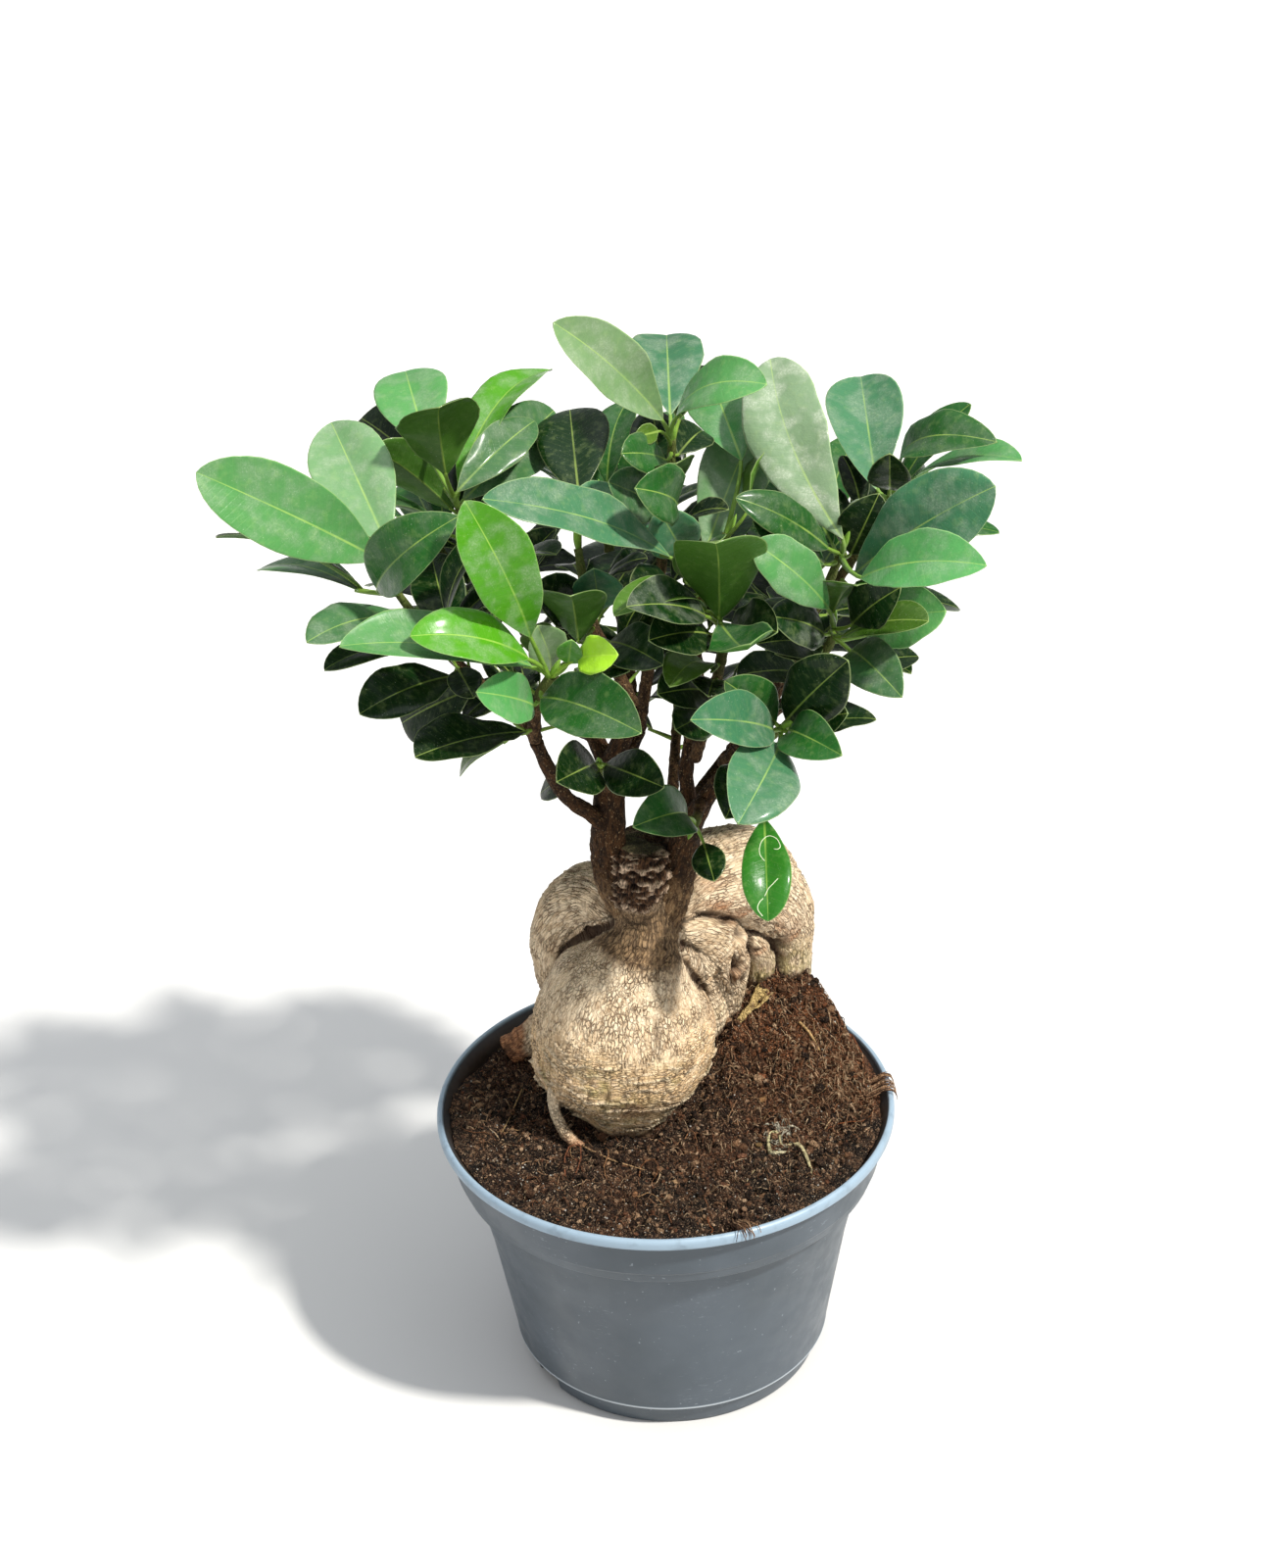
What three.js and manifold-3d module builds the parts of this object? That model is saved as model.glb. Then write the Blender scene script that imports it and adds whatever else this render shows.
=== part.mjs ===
// A ginseng ficus in its nursery pot: a swollen pale rootstock with two grafted leafy tops.
// Millimetres, +Z up. The origin is the centre of the pot's underside, and -Y is the front.
import * as THREE from "three";
import { mergeVertices } from "three/addons/utils/BufferGeometryUtils.js";
import Module from "manifold-3d";

const wasm = await Module();
wasm.setup();

// Driving dimensions
const GAP = 0.3; // between pieces that rest on each other
const POT = {
  height: 108,
  rimRadius: 85.5,
  rimWidth: 3,
  footRadius: 56,
  floor: 2.5,
  sides: 28,
};
// [radius, height] of the corners of the pot's wall
const POT_OUTSIDE = {
  heel: [58, 8],
  step: [60, 10],
  middle: [68, 57],
  ledge: [74, 83.5],
  collar: [79.5, 85],
  brim: [82, 103],
  lipUnder: [85.5, 104],
  lipOver: [85.5, 107],
  lipTop: [84.5, 108],
};
const POT_INSIDE = {
  brim: [80, 103],
  shoulder: [77.5, 86.5],
  ledge: [72, 82.5],
  middle: [66, 57],
  heel: [58, 10],
};
const DRAIN = { count: 8, radius: 4, fromCentre: 38, long: 12 };
const NOTCH = { angles: [212, 32], long: 12, width: 14, height: 7.5 }; // in the foot, open below
const SOIL = {
  level: 103,
  rings: 6,
  mound: { x: 50, y: 46, height: 26, spread: 22 },
  hollow: { x: -60, y: 40, height: -5, spread: 20 },
  moundEdge: [74, 85], // the mound fades out between these radii
  ripple: { height: 0.8, alongX: 0.21, alongY: 0.17 },
};
const BLADE = {
  thickness: 0.7,
  fold: 0.22, // how far the edges rise, as a share of the half width
  rows: [
    { upTo: 32, shares: [0.1, 0.58] },
    { upTo: 48, shares: [0.08, 0.4, 0.8] },
    { upTo: Infinity, shares: [0.08, 0.3, 0.6, 0.87] },
  ],
};
const LAST_ROOT = 0.88; // the furthest root of a stalk, as a share of a twig's stretch
const CLEARANCE = { otherStem: 6.5, sameStem: 4.5, wood: 4.5, ownRoot: 14, lowest: 222 };
// Leaves that the view doesn't show grow by a spiral rule along the outer part of a twig.
const SPIRAL = {
  angle: 137.5,
  firstShare: 0.35,
  lowTilt: 80,
  highTilt: 38,
  rise: 0.6,
  flatten: 0.6,
  shorten: 0.15,
  bearingSpread: 12,
  tiltSpread: 10,
  lengthSpread: 0.12,
  stalk: [7, 11],
  widthShare: [0.44, 0.52],
  arch: [0.06, 0.16],
};
const RANDOM_SEED = 2024;
const GRAFT_SIDES = 7;
const TWIG_SIDES = 5;

// The view that the visible leaves and stems were measured in: an eye in front of the plant,
// looking slightly down, with a picture of 1292 x 1600 points.
const VIEW = {
  eye: new THREE.Vector3(0, -901, 749),
  focal: 3000,
  centreX: 646,
  centreY: 800,
  pitch: THREE.MathUtils.degToRad(29.29),
  yaw: THREE.MathUtils.degToRad(-0.49),
  roll: THREE.MathUtils.degToRad(-2.1),
};

// A leaf's tip is nearer to the eye than its base, except on the leaves that lean away.
const FAR = { lean: "far" };

// Leafy stems that the front view shows. A twig is a list of [picture x, picture y, depth, radius]
// points. A leaf starts at [picture x, picture y, depth], ends at picture place tip, and its long and
// wide are its real size in millimetres. Depth is the Y coordinate.
const LEAFY_STEMS = {
  left_front: {
    twig: [[546, 755, -29, 2.3], [545, 728, -33, 2.2], [553, 706, -37, 2], [562, 690, -39, 1.8]],
    leaves: {
      bright_large: { start: [542, 651, -48], tip: [476, 513], long: 58, wide: 23, turn: 12, arch: 0.1 },
      bright_low: { start: [540, 672, -52], tip: [421, 647], long: 45, wide: 21, turn: 35, arch: 0.12 },
      long_low: { start: [544, 680, -46], tip: [348, 656], long: 68, wide: 24, turn: 50, arch: 0.06 },
      bud_round: { start: [580, 677, -44], tip: [583, 654], long: 14, wide: 9 },
      bud_yellow: { start: [590, 672, -48], tip: [631, 668], long: 20, wide: 13, turn: 10, arch: 0.12 },
      fold_small: { start: [545, 720, -40], tip: [491, 706], long: 36, wide: 17, turn: 15 },
      broad_lit: { start: [552, 712, -42], tip: [652, 746], long: 50, wide: 23, turn: 18, arch: 0.12 },
      flat_dark: { start: [538, 747, -34], tip: [424, 772], long: 45, wide: 22, turn: 45, arch: 0.06 },
    },
    fill: { count: 3, toward: 200, spread: 120, long: 36 },
  },
  left_outer: {
    twig: [
      [547, 752, -24, 2.1], [520, 722, -18, 1.9], [480, 688, -14, 1.8],
      [440, 652, -16, 1.6], [402, 600, -18, 1.3],
    ],
    leaves: {
      wide_light: { start: [388, 571, -20], tip: [200, 482], long: 72, wide: 27, turn: 10, arch: 0.06 },
      upright_pale: { start: [397, 560, -22], tip: [338, 431], long: 58, wide: 27, ...FAR },
      edge_long: { start: [372, 602, -10], tip: [222, 544], long: 56, wide: 20, turn: 97, arch: 0.08 },
      under_grey: { start: [368, 603, -12], tip: [264, 576], long: 45, wide: 20, turn: 68, ...FAR },
      front_broad: { start: [384, 601, -34], tip: [463, 528], long: 46, wide: 22, turn: 20, arch: 0.16 },
      dark_tip: { start: [420, 630, -22], tip: [315, 650], long: 44, wide: 21, turn: 48 },
      low_dark: { start: [462, 690, -20], tip: [368, 727], long: 42, wide: 20, turn: 30 },
      low_round: { start: [484, 702, -6], tip: [410, 738], long: 36, wide: 24, turn: 15, ...FAR },
      thin_hang: { start: [516, 756, -14], tip: [467, 789], long: 26, wide: 11, turn: 60, ...FAR },
    },
    fill: { count: 7, toward: 120, spread: 150, long: 42 },
  },
  left_upper: {
    twig: [
      [575, 710, 20, 2.3], [545, 660, 26, 2.1], [505, 590, 28, 1.8],
      [478, 540, 26, 1.6], [467, 515, 24, 1.4],
    ],
    leaves: {
      round_light: { start: [438, 463, 26], tip: [412, 373], long: 52, wide: 26, ...FAR },
      vivid_back: { start: [455, 486, 14], tip: [447, 411], long: 44, wide: 28, turn: 172, arch: 0.1 },
      arch_bright: { start: [468, 500, 32], tip: [561, 374], long: 62, wide: 21, turn: 45, arch: 0.16, ...FAR },
      grey_inner: { start: [466, 502, 20], tip: [546, 428], long: 42, wide: 16, turn: 15, ...FAR },
      grey_broad: { start: [471, 512, 28], tip: [566, 418], long: 54, wide: 24, ...FAR },
      vivid_left: { start: [463, 521, 30], tip: [378, 455], long: 40, wide: 21, turn: 150 },
      dark_left: { start: [440, 482, 36], tip: [368, 426], long: 44, wide: 23, turn: 10, ...FAR },
    },
    fill: { count: 8, toward: 80, spread: 170, long: 42 },
  },
  centre_left: {
    twig: [
      [646, 722, -4, 2.6], [628, 680, 2, 2.2], [606, 640, 6, 1.9],
      [596, 600, 10, 1.7], [590, 560, 14, 1.4],
    ],
    leaves: {
      dark_gloss: { start: [591, 509, 22], tip: [581, 413], long: 50, wide: 26, ...FAR },
      vivid_low: { start: [590, 655, -14], tip: [582, 603], long: 36, wide: 22, turn: 172 },
      blue_round: { start: [612, 622, 2], tip: [606, 582], long: 24, wide: 19 },
      pale_flat: { start: [562, 684, -16], tip: [548, 638], long: 28, wide: 15, turn: 25 },
      dark_front: { start: [600, 632, 0], tip: [548, 598], long: 32, wide: 18, turn: 20 },
      gloss_right: { start: [622, 655, -10], tip: [676, 678], long: 36, wide: 18, turn: 25 },
      under_low: { start: [594, 692, -16], tip: [640, 682], long: 28, wide: 14, turn: 60 },
    },
    fill: { count: 6, toward: 100, spread: 140, long: 38 },
  },
  top_centre: {
    twig: [
      [652, 745, 34, 2.4], [662, 680, 30, 2.2], [672, 600, 22, 1.9],
      [682, 520, 14, 1.7], [686, 448, 10, 1.4],
    ],
    leaves: {
      long_left: { start: [677, 429, 8], tip: [571, 330], long: 60, wide: 21, turn: 25, arch: 0.06 },
      round_up: { start: [684, 424, 18], tip: [680, 337], long: 48, wide: 25, ...FAR },
      arch_right: { start: [690, 424, 6], tip: [780, 390], long: 42, wide: 20, turn: 55, arch: 0.16 },
      dark_fold: { start: [692, 430, 22], tip: [716, 374], long: 32, wide: 14, turn: 30, ...FAR },
      bud_left: { start: [672, 440, 2], tip: [648, 446], long: 12, wide: 7 },
      small_right: { start: [692, 464, 11], tip: [718, 438], long: 22, wide: 14, turn: 20, ...FAR },
      leaf_left: { start: [680, 470, 4], tip: [636, 462], long: 28, wide: 15, turn: 30 },
      small_front: { start: [689, 500, 2], tip: [690, 471], long: 26, wide: 15, turn: 165 },
      grey_left: { start: [674, 520, 8], tip: [622, 492], long: 34, wide: 18, turn: 20 },
      blue_left: { start: [676, 542, 10], tip: [586, 511], long: 42, wide: 20, turn: 55 },
      wavy_low: { start: [690, 518, -10], tip: [650, 498], long: 32, wide: 20, turn: 30, arch: 0.14 },
    },
    fill: { count: 9, toward: 90, spread: 170, long: 40 },
  },
  centre_top: {
    twig: [[705, 755, 4, 2.4], [712, 700, 2, 2.2], [710, 650, 2, 1.9], [716, 600, 4, 1.7], [742, 545, 12, 1.4]],
    leaves: {
      tall_blue: { start: [719, 566, 14], tip: [772, 431], long: 54, wide: 25, turn: 10, ...FAR },
      pale_behind: { start: [757, 470, 26], tip: [720, 371], long: 48, wide: 23, ...FAR },
      olive_edge: { start: [762, 522, 7], tip: [792, 448], long: 32, wide: 18, turn: 75, ...FAR },
      long_front: { start: [684, 568, -14], tip: [490, 512], long: 76, wide: 26, turn: 50, arch: 0.08 },
      blue_low: { start: [700, 568, 4], tip: [672, 520], long: 26, wide: 19 },
      vivid_edge: { start: [697, 590, -16], tip: [733, 549], long: 30, wide: 18, turn: 105 },
      dark_left: { start: [694, 610, -4], tip: [648, 602], long: 36, wide: 20, turn: 35 },
    },
    fill: { count: 7, toward: 60, spread: 150, long: 38 },
  },
  centre_front: {
    twig: [[709, 774, 1, 2.3], [728, 712, -9, 2.1], [738, 662, -20, 1.8], [735, 638, -24, 1.5]],
    leaves: {
      vivid_large: { start: [734, 632, -34], tip: [731, 550], long: 50, wide: 30, turn: 172 },
      olive_arch: { start: [721, 622, -30], tip: [627, 628], long: 40, wide: 18, turn: 60, arch: 0.18 },
      dark_flat: { start: [720, 628, -38], tip: [641, 618], long: 40, wide: 19, turn: 40 },
      dark_under: { start: [726, 648, -30], tip: [664, 652], long: 36, wide: 19, turn: 30 },
      fold_front: { start: [734, 634, -34], tip: [766, 658], long: 38, wide: 22, turn: 30, arch: -0.12 },
      right_dark: { start: [744, 642, -22], tip: [792, 644], long: 34, wide: 18, turn: 30 },
      arch_low: { start: [728, 684, -22], tip: [684, 698], long: 30, wide: 16, turn: 60, arch: 0.18 },
      low_left: { start: [722, 706, -16], tip: [672, 708], long: 34, wide: 18, turn: 25 },
      low_mid: { start: [722, 730, -12], tip: [690, 744], long: 28, wide: 16, turn: 10 },
    },
    fill: { count: 3, toward: 90, spread: 120, long: 34 },
  },
  right_top: {
    twig: [[746, 768, 28, 2.4], [790, 700, 16, 2.2], [822, 640, 8, 1.8], [848, 590, 2, 1.6], [859, 562, 0, 1.4]],
    leaves: {
      tall_pink: { start: [861, 551, -4], tip: [786, 366], long: 70, wide: 28, bend: 0.06, arch: 0.06, ...FAR },
      broad_right: { start: [872, 586, -12], tip: [1012, 497], long: 62, wide: 29, turn: 10, arch: 0.06 },
      fold_right: { start: [878, 590, -42], tip: [1003, 574], long: 48, wide: 21, turn: 30, arch: 0.12 },
      left_long: { start: [846, 560, -8], tip: [755, 507], long: 42, wide: 16, turn: 30 },
      left_round: { start: [850, 556, 12], tip: [812, 484], long: 38, wide: 21, ...FAR },
      left_low: { start: [842, 576, -4], tip: [768, 532], long: 38, wide: 17, turn: 25 },
      pink_bud: { start: [863, 552, 6], tip: [879, 508], long: 17, wide: 7, ...FAR },
      inner_dark: { start: [868, 566, 4], tip: [896, 506], long: 28, wide: 18 },
    },
    fill: { count: 7, toward: 80, spread: 160, long: 40 },
  },
  right_rear: {
    twig: [
      [772, 742, 42, 2.2], [802, 690, 48, 2.1], [850, 600, 44, 1.8],
      [890, 540, 38, 1.6], [910, 505, 34, 1.3],
    ],
    leaves: {
      tall_rear: { start: [895, 500, 36], tip: [878, 382], long: 54, wide: 27, ...FAR },
      arch_over: { start: [917, 482, 28], tip: [1016, 450], long: 46, wide: 21, turn: 45, arch: 0.26 },
      edge_right: { start: [930, 490, 22], tip: [1042, 468], long: 46, wide: 18, turn: 74, arch: 0.1 },
      dark_up: { start: [908, 500, 22], tip: [908, 466], long: 26, wide: 15 },
      small_right: { start: [918, 502, 42], tip: [946, 476], long: 26, wide: 16, ...FAR },
    },
    fill: { count: 10, toward: 60, spread: 170, long: 42 },
  },
  right_mid: {
    twig: [
      [737, 780, 20, 2.2], [782, 736, 6, 2], [825, 690, -4, 1.8],
      [848, 655, -12, 1.6], [850, 640, -14, 1.4],
    ],
    leaves: {
      fold_left: { start: [846, 622, -30], tip: [770, 554], long: 40, wide: 18, turn: 20, arch: 0.12 },
      vivid_fold: { start: [850, 624, -18], tip: [874, 594], long: 28, wide: 22, turn: 130 },
      dark_up: { start: [869, 638, -26], tip: [916, 600], long: 30, wide: 18, turn: 20 },
      gloss_left: { start: [842, 648, -20], tip: [790, 628], long: 34, wide: 18, turn: 30 },
      olive_right: { start: [858, 650, -28], tip: [946, 632], long: 36, wide: 18, turn: 50 },
      curl_right: { start: [884, 648, -8], tip: [966, 624], long: 42, wide: 22, turn: 25, arch: 0.16 },
      droop_right: { start: [868, 664, -20], tip: [918, 708], long: 36, wide: 18, turn: 10, arch: 0.16 },
      dark_left: { start: [840, 660, -10], tip: [776, 655], long: 34, wide: 17, turn: 30 },
      wavy_left: { start: [822, 688, -4], tip: [752, 690], long: 32, wide: 15, turn: 40 },
    },
    fill: { count: 5, toward: 40, spread: 140, long: 38 },
  },
  right_low: {
    twig: [[734, 795, -11, 2.3], [762, 772, -22, 2], [785, 752, -32, 1.8], [798, 743, -36, 1.4]],
    leaves: {
      lit_large: { start: [795, 760, -44], tip: [755, 838], long: 50, wide: 25, turn: -5, arch: 0.12 },
      left_blue: { start: [790, 745, -42], tip: [706, 734], long: 44, wide: 20, turn: 20, arch: 0.1 },
      up_left: { start: [792, 738, -36], tip: [742, 696], long: 34, wide: 17, turn: 15 },
      up_right: { start: [802, 736, -36], tip: [864, 675], long: 44, wide: 22, turn: 10 },
      right_curl: { start: [804, 747, -40], tip: [855, 768], long: 34, wide: 17, turn: 10, arch: 0.18 },
      right_dark: { start: [806, 742, -32], tip: [866, 728], long: 32, wide: 18, turn: 20 },
      low_dark: { start: [764, 780, -22], tip: [742, 832], long: 34, wide: 18 },
    },
    fill: { count: 4, toward: 20, spread: 100, long: 34 },
  },
  low_centre: {
    twig: [[619, 804, -1, 2.2], [616, 792, -12, 1.9], [613, 782, -16, 1.6]],
    leaves: {
      left_round: { start: [608, 779, -22], tip: [568, 798], long: 36, wide: 20, turn: 5 },
      right_oval: { start: [618, 780, -22], tip: [677, 803], long: 34, wide: 17, turn: 5 },
      behind_left: { start: [603, 785, -4], tip: [552, 810], long: 28, wide: 14, turn: 40, ...FAR },
    },
  },
  low_right: {
    twig: [[716, 818, -10, 2.2], [712, 832, -16, 1.9], [708, 842, -21, 1.6]],
    leaves: {
      bent_left: { start: [702, 834, -26], tip: [649, 842], long: 34, wide: 19, turn: 20, arch: 0.18 },
      small_hang: { start: [718, 860, -24], tip: [729, 899], long: 20, wide: 12 },
    },
  },
  right_hang: {
    twig: [[735, 797, -4, 2.2], [754, 808, 0, 1.8], [772, 822, -2, 1.5]],
    leaves: {
      scribbled: { start: [780, 834, -8], tip: [784, 939], long: 40, wide: 17.5, arch: 0.1 },
    },
  },
};

// Leafy stems that the front view hides, as [x, y, z, radius] points in the plant's own frame.
const REAR_STEMS = {
  back_left: {
    twig: [[-32, 36, 250, 2.2], [-52, 47, 273, 2], [-70, 58, 299, 1.7], [-78, 63, 317, 1.4]],
    fill: { count: 14, toward: 130, spread: 120, long: 46 },
  },
  back_centre: {
    twig: [[-7, 45, 236, 2.3], [-8, 59, 263, 2.1], [-13, 72, 292, 1.8], [-16, 80, 317, 1.4]],
    fill: { count: 15, toward: 90, spread: 110, long: 46 },
  },
  back_right: {
    twig: [[27, 47, 223, 2.2], [41, 60, 251, 2.1], [55, 70, 281, 1.8], [62, 76, 303, 1.4]],
    fill: { count: 14, toward: 50, spread: 120, long: 46 },
  },
  back_low: {
    twig: [[6, 22, 224, 2.2], [8, 44, 235, 1.9], [10, 62, 249, 1.6]],
    fill: { count: 8, toward: 90, spread: 90, long: 40 },
  },
};

// Woody stems of the two grafts, as [picture x, picture y, depth, radius] points.
const LEFT_GRAFT = {
  scion: [
    [640, 905, 4, 10], [628, 868, 3, 9], [624, 835, 2, 7],
    [622, 800, 2, 5.8], [622, 778, 3, 4.8],
  ],
  branch: [
    [620, 842, 2, 3.7], [604, 831, -4, 3], [580, 815, -12, 2.7],
    [560, 785, -22, 2.6], [547, 756, -28, 2.4],
  ],
  left_fork: [[622, 782, 3, 4.2], [604, 748, 12, 3], [575, 712, 20, 2.6]],
  mid_fork: [[622, 782, 3, 4.2], [636, 752, 0, 3.4], [646, 722, -4, 2.7]],
  back_fork: [[624, 800, 4, 4.2], [640, 770, 22, 3.2], [652, 745, 34, 2.7]],
  left_rear_fork: [[606, 750, 11, 2.9], [590, 744, 26, 2.6], [572, 735, 37, 2.4]],
  rear_fork: [[638, 773, 20, 3], [642, 760, 36, 2.7], [646, 752, 46, 2.5]],
};
const RIGHT_GRAFT = {
  scion: [
    [688, 912, 2, 7.6], [694, 880, 0, 6.5], [700, 850, -2, 5.4],
    [718, 818, -6, 3.5], [735, 795, -10, 2.9],
  ],
  inner: [[700, 852, -2, 3.7], [702, 815, 4, 3], [700, 785, 6, 2.7], [705, 755, 4, 2.6]],
  back: [[700, 835, 0, 3.7], [722, 800, 16, 3], [745, 770, 28, 2.6]],
  right_rear_fork: [[728, 792, 20, 2.9], [752, 768, 34, 2.6], [771, 743, 41, 2.3]],
  rear_fork: [[720, 802, 14, 3], [733, 790, 34, 2.7], [744, 780, 48, 2.4]],
  low_fork: [[698, 838, 2, 3.2], [692, 826, 14, 2.7], [686, 816, 23, 2.4]],
};

// The rootstock's limbs, as [x, y, z, radius] points in the plant's own frame.
const ROOTSTOCK = {
  tuber: {
    sides: 14,
    steps: 12,
    path: [
      [-14, 3, 86, 13], [-14, 2, 98, 18], [-15, 2, 110, 27], [-15, 3, 124, 33.5], [-14, 4, 140, 34],
      [-12, 5, 156, 29], [-8, 6, 170, 19.5], [-5, 7, 182, 14.5], [-5, 7, 198, 13.5], [-5, 5, 218, 10],
    ],
  },
  left_buttress: {
    sides: 8,
    steps: 5,
    path: [[-30, 6, 132, 9], [-37, 3, 120, 10.5], [-37, 2, 108, 9], [-33, 2, 94, 6]],
  },
  left_arch: {
    sides: 10,
    steps: 8,
    path: [
      [-8, 10, 178, 11], [-20, 22, 183, 14], [-29, 32, 170, 17], [-32, 40, 148, 17],
      [-32, 44, 124, 13], [-30, 45, 104, 9.5], [-28, 44, 88, 7],
    ],
  },
  left_stub: {
    sides: 7,
    steps: 3,
    path: [[-36, 42, 124, 6], [-45, 42, 116, 6.4], [-53, 42, 108, 6], [-60, 41, 103.5, 5]],
  },
  front_root: {
    sides: 6,
    steps: 5,
    path: [
      [-38, -11, 130, 2.6], [-41, -17, 120, 2.8], [-37, -21, 110, 2.8],
      [-30, -21, 101, 2.6], [-26, -18, 92, 2],
    ],
  },
  right_elbow: {
    sides: 9,
    steps: 7,
    path: [
      [-2, 10, 176, 10], [10, 20, 172, 12.5], [21, 28, 162, 13.5], [27, 34, 148, 12],
      [26, 40, 130, 8.5], [24, 43, 108, 7.5], [22, 44, 90, 6],
    ],
  },
  right_arch: {
    sides: 11,
    steps: 8,
    path: [
      [-2, 12, 182, 11], [14, 30, 183, 17], [30, 44, 177, 20], [41, 51, 162, 17.5],
      [46, 55, 142, 13.5], [45, 54, 122, 11], [40, 50, 98, 8.5],
    ],
  },
  right_knob: {
    sides: 7,
    steps: 4,
    path: [[24, 40, 160, 8], [34, 38, 152, 10], [38, 42, 140, 9], [36, 46, 124, 6]],
  },
  inner_leg: {
    sides: 7,
    steps: 4,
    path: [[6, 16, 160, 9], [13, 25, 146, 9.5], [17, 31, 126, 8.5], [18, 36, 106, 7], [18, 38, 92, 5]],
  },
};

// Vectors and the measured view

function vector([x, y, z]) {
  return new THREE.Vector3(x, y, z);
}

function viewAxes() {
  const { pitch, yaw, roll } = VIEW;
  const forward = new THREE.Vector3(
    Math.sin(yaw) * Math.cos(pitch),
    Math.cos(yaw) * Math.cos(pitch),
    -Math.sin(pitch),
  );
  const level = forward.clone().cross(new THREE.Vector3(0, 0, 1)).normalize();
  const upright = level.clone().cross(forward);
  const right = level.clone().multiplyScalar(Math.cos(roll)).addScaledVector(upright, Math.sin(roll));
  const up = level.clone().multiplyScalar(-Math.sin(roll)).addScaledVector(upright, Math.cos(roll));
  return { forward, right, up };
}

const AXES = viewAxes();

function sightLine(x, y) {
  return AXES.forward
    .clone()
    .multiplyScalar(VIEW.focal)
    .addScaledVector(AXES.right, x - VIEW.centreX)
    .addScaledVector(AXES.up, VIEW.centreY - y);
}

// The point seen at picture place x, y whose Y coordinate is depth.
function seenAt([x, y, depth]) {
  const line = sightLine(x, y);
  return VIEW.eye.clone().addScaledVector(line, (depth - VIEW.eye.y) / line.y);
}

// A leaf's tip, seen at picture place x, y, and as far from its base as the leaf is long.
function tipAt(base, [x, y], long, lean) {
  const line = sightLine(x, y).normalize();
  const toEye = VIEW.eye.clone().sub(base);
  const along = toEye.dot(line);
  const room = along * along - (toEye.lengthSq() - long * long);
  const reach = room > 0 ? Math.sqrt(room) : 0;
  return VIEW.eye.clone().addScaledVector(line, lean === "far" ? reach - along : -reach - along);
}

// Leaves: obovate blades on short stalks

// [share of the length, share of the half width]
const OUTLINE = [
  [0, 0.08], [0.1, 0.24], [0.28, 0.62], [0.48, 0.93], [0.62, 1], [0.78, 0.88], [0.91, 0.56], [1, 0.12],
];

function halfWidth(share) {
  for (let i = 1; i < OUTLINE.length; i++) {
    const [from, low] = OUTLINE[i - 1];
    const [to, high] = OUTLINE[i];
    if (share <= to) return low + ((high - low) * (share - from)) / (to - from);
  }
  return OUTLINE[OUTLINE.length - 1][1];
}

function makeLeaf({ base, tip, normal, root, wide, arch = 0.08, bend = 0 }) {
  const axis = tip.clone().sub(base);
  const long = axis.length();
  const u = axis.clone().divideScalar(long);
  const n = normal.clone().addScaledVector(u, -normal.dot(u)).normalize();
  const side = n.clone().cross(u);
  return { base, tip, root, wide, arch, bend, long, axis, n, side };
}

// A point of the blade: share runs from base to tip, across from -1 to 1.
function bladePoint(leaf, share, across) {
  const hump = 4 * share * (1 - share) * leaf.long;
  const reach = (halfWidth(share) * leaf.wide) / 2;
  return leaf.base
    .clone()
    .addScaledVector(leaf.axis, share)
    .addScaledVector(leaf.n, leaf.arch * hump + Math.abs(across) * reach * BLADE.fold)
    .addScaledVector(leaf.side, leaf.bend * hump + across * reach);
}

function bladeSamples(leaf) {
  const points = [];
  for (const share of [0.05, 0.22, 0.4, 0.58, 0.76, 0.95]) {
    for (const across of [-0.95, -0.45, 0, 0.45, 0.95]) points.push(bladePoint(leaf, share, across));
  }
  return points;
}

// The nearest point of the twig's middle line, short of its end so that a stalk starts inside it.
function nearestOnTwig(twig, point) {
  let best = null;
  for (let i = 1; i < twig.length; i++) {
    const run = twig[i].clone().sub(twig[i - 1]);
    const share = THREE.MathUtils.clamp(point.clone().sub(twig[i - 1]).dot(run) / run.dot(run), 0, LAST_ROOT);
    const near = twig[i - 1].clone().addScaledVector(run, share);
    const distance = near.distanceTo(point);
    if (!best || distance < best.distance) best = { distance, near };
  }
  return best.near;
}

// A leaf measured in the view. Its turn tips its face from the eye towards the sky.
function measuredLeaf(row, twig) {
  const base = seenAt(row.start);
  const tip = tipAt(base, row.tip, row.long, row.lean);
  const u = tip.clone().sub(base).normalize();
  const toEye = VIEW.eye.clone().sub(base.clone().add(tip).divideScalar(2));
  const facing = toEye.addScaledVector(u, -toEye.dot(u)).normalize();
  const turn = THREE.MathUtils.degToRad(row.turn ?? 0) * (u.x > 0 ? -1 : 1);
  const normal = facing
    .clone()
    .multiplyScalar(Math.cos(turn))
    .addScaledVector(u.clone().cross(facing), Math.sin(turn));
  return makeLeaf({ ...row, base, tip, normal, root: nearestOnTwig(twig, base) });
}

// A repeatable random number between low and high.
let randomState = RANDOM_SEED;
function random(low, high) {
  randomState = (randomState * 48271) % 2147483647;
  return low + ((high - low) * randomState) / 2147483647;
}

function alongTwig(twig, share) {
  const lengths = twig.slice(1).map((point, i) => point.distanceTo(twig[i]));
  let left = share * lengths.reduce((sum, length) => sum + length, 0);
  for (let i = 0; i < lengths.length; i++) {
    const run = twig[i + 1].clone().sub(twig[i]);
    if (left <= lengths[i] || i === lengths.length - 1) {
      const point = twig[i].clone().addScaledVector(run, Math.min(1, left / lengths[i]));
      return { point, heading: run.divideScalar(lengths[i]) };
    }
    left -= lengths[i];
  }
}

function randomAround(middle, spread) {
  return random(middle - spread, middle + spread);
}

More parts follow.
